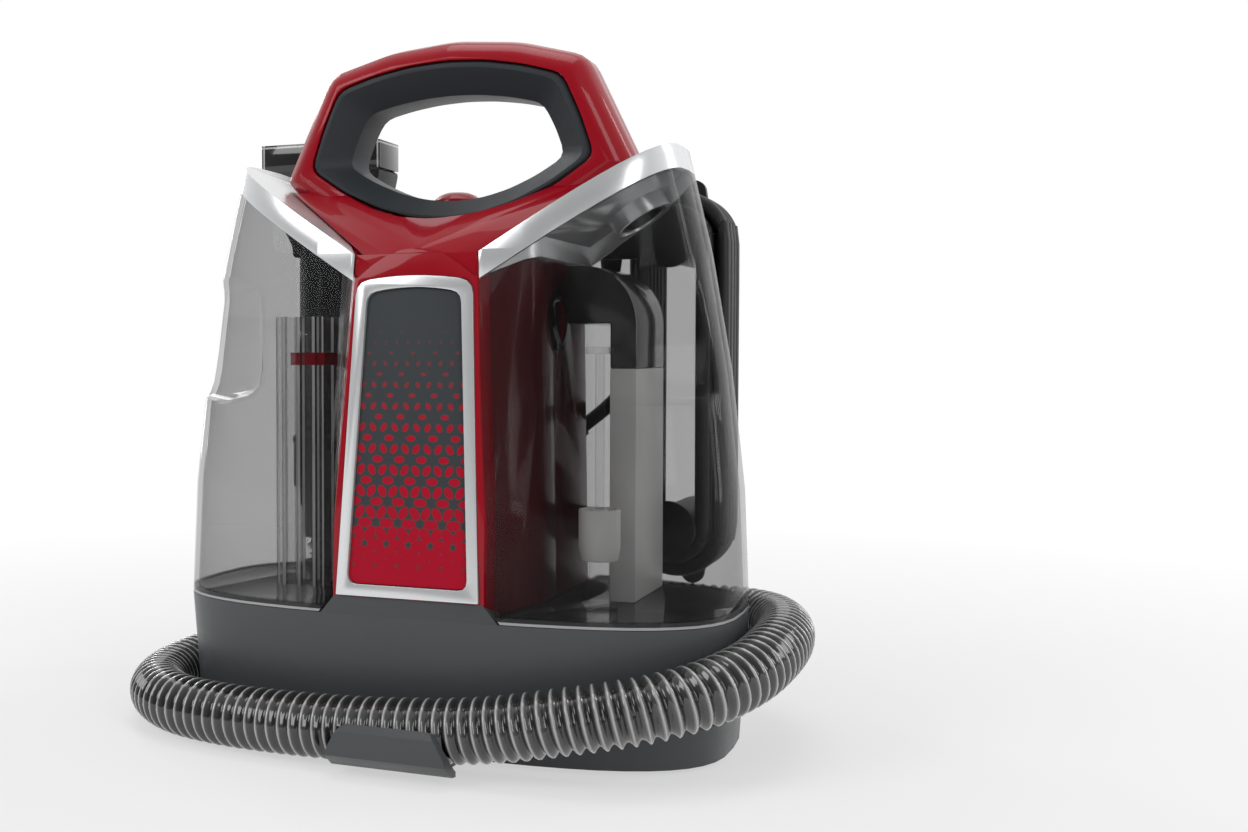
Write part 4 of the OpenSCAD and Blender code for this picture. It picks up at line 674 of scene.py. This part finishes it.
# Light falls through the column's walls and ribs in dark lines of painted shade and bright lines of painted
# highlight. Each line starts so many millimetres from its wall or from the middle of its rib, and a tone is a
# shade and its density.
dark, bright, clear = (0.012, 0.55), (0.95, 0.80), (0.40, 0.16)
wall_skin, wall_line, wall_glint = 0.1, 0.7, 1.6
rib_step, rib_lines = 8, [(-1.3, dark), (-0.9, bright), (0.6, dark), (1.0, clear)]
column_low, column_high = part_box("clean_column")
column_w = (column_high.x - column_low.x) / mm
lines = [(0.0, clear), (wall_skin, dark), (wall_line, bright), (wall_glint, clear)]
for rib in (-rib_step, 0, rib_step):
    lines += [(column_w / 2 + rib + start, tone) for start, tone in rib_lines]
lines += [(column_w - wall_glint, bright), (column_w - wall_line, dark), (column_w - wall_skin, clear)]
column_clear = clear_plastic("ribbed_clear_column", (0.10, 0.10, 0.105), face_on=0.10, edge_on=0.60)
tree = column_clear.node_tree
column_at = coordinates(tree)
across = between(tree, column_at["X"], column_low.x, column_high.x)
stops = [(start / column_w, (shade, shade, shade, weight)) for start, (shade, weight) in lines]
# The dark lines are painted shade and the bright lines are painted highlights
painted_line_light = colour_ramp(tree, across, stops, "CONSTANT")
for output, socket in (("Color", "Base Color"), ("Alpha", "Alpha")):
    tree.links.new(painted_line_light[output], tree.nodes["Principled BSDF"].inputs[socket])

# A red seal shows near the column's top, from a third of its width to its right edge
seal_low, seal_high, seal_edge = 167 * mm, 173 * mm, 0.3 * mm
seal_left, seal_left_edge = 0.3, 0.01
in_seal = combine(tree, band(tree, column_at["Z"], seal_low, seal_high, seal_edge),
                  between(tree, across, seal_left, seal_left + seal_left_edge), "MULTIPLY")
overlay(column_clear, in_seal, (0.40, 0.004, 0.014), density=0.85)

# The column is moulded open and closed at its foot, where it stands on the tank's floor
column = dress("clean_column", column_clear, "clear_part", 0.0)
select_only(column)
core_x, core_y = 12 * mm, 8 * mm
middle = sum((Vector(corner) for corner in column.bound_box), Vector()) / 8
bpy.ops.object.mode_set(mode="EDIT")
bpy.ops.mesh.select_mode(type="VERT")
bpy.ops.mesh.select_all(action="DESELECT")
bpy.ops.object.mode_set(mode="OBJECT")
for corner in column.data.vertices:
    corner.select = abs(corner.co.x - middle.x) < core_x and abs(corner.co.y - middle.y) < core_y
bpy.ops.object.mode_set(mode="EDIT")
bpy.ops.mesh.delete(type="VERT")
bpy.ops.mesh.select_non_manifold()
bpy.ops.mesh.edge_face_add()
bpy.ops.object.mode_set(mode="OBJECT")

# ---- Dirty water tank ----
# The same tank in mirror image. A white duct brings the dirty water up to a smoke-grey separator
# hood, and a white float on its guide shuts the air port when the tank is full.
part_clear = clear_plastic("clear_part", (0.10, 0.10, 0.105), face_on=0.07, edge_on=0.75)
white_plastic = moulded_plastic("natural_white_plastic", (0.80, 0.80, 0.79), roughness=0.35, depth=0.08)
smoke_plastic = moulded_plastic("smoke_grey_plastic", (0.020, 0.020, 0.021), roughness=0.2, depth=0.05,
                                coat=0.5)
dress("dirty_tank", tank_clear, "clear_tank", 0.5)
dress("dirty_tank_cover", silver, "silver_plastic", 0.7)
dress("drain_cap", black_plastic, "dark_plastic", 0.5)
dress("dirty_duct", white_plastic, "white_plastic", 0.5)
dress("separator_hood", smoke_plastic, "grey_plastic", 0.8)
dress("float_guide", part_clear, "clear_part", 0.2)
dress("float", white_plastic, "white_plastic", 0.3)

# ---- Wand ----
# A black moulded wand that the hose ends in, with a trigger on a steel pin and a spray line down its
# side. It stands in a holder at the rear left of the base.
dress("wand_body", black_plastic, "dark_plastic", 0.6)
dress("wand_trigger", black_plastic, "dark_plastic", 0.3)
dress("trigger_pin", steel, "steel", 0.1)
dress("wand_spray_line", black_plastic, "dark_plastic", 0.3)
dress("wand_holder", black_plastic, "dark_plastic", 0.6)

# ---- Brush tool ----
# The flared tool pushes on to the wand and locks with a latch. Its mouth is closed by a smoked window
# with a thin silver line inside its edge, and fifteen round tufts of red nylon stand in three rows.
window_smoke = moulded_plastic("smoked_window", (0.012, 0.012, 0.013), roughness=0.08, depth=0.01, coat=0.8)
tree = window_smoke.node_tree
window_at = coordinates(tree)
window_low, window_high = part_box("tool_window")
line_in, line_w, line_edge = 0.9 * mm, 0.9 * mm, 0.2 * mm
on_line = 0.0
for axis, side, inward in (("Z", window_high.z, -1), ("X", window_low.x, 1), ("X", window_high.x, -1)):
    drawn = band(tree, window_at[axis], side + inward * line_in, side + inward * (line_in + line_w),
                 inward * line_edge)
    on_line = combine(tree, on_line, drawn, "MAXIMUM")
overlay(window_smoke, on_line, (0.55, 0.55, 0.56))
tuft_red = moulded_plastic("red_nylon", (0.45, 0.010, 0.015), roughness=0.45, grain=2500.0, depth=0.6)
dress("tool_body", black_plastic, "dark_plastic", 0.5)
dress("tool_window", window_smoke, "clear_part", 0.4)
dress("tool_bristles", tuft_red, "bristle_red", 0.4)
dress("tool_sprayer", black_plastic, "dark_plastic", 0.4)
dress("tool_latch", black_plastic, "dark_plastic", 0.3)
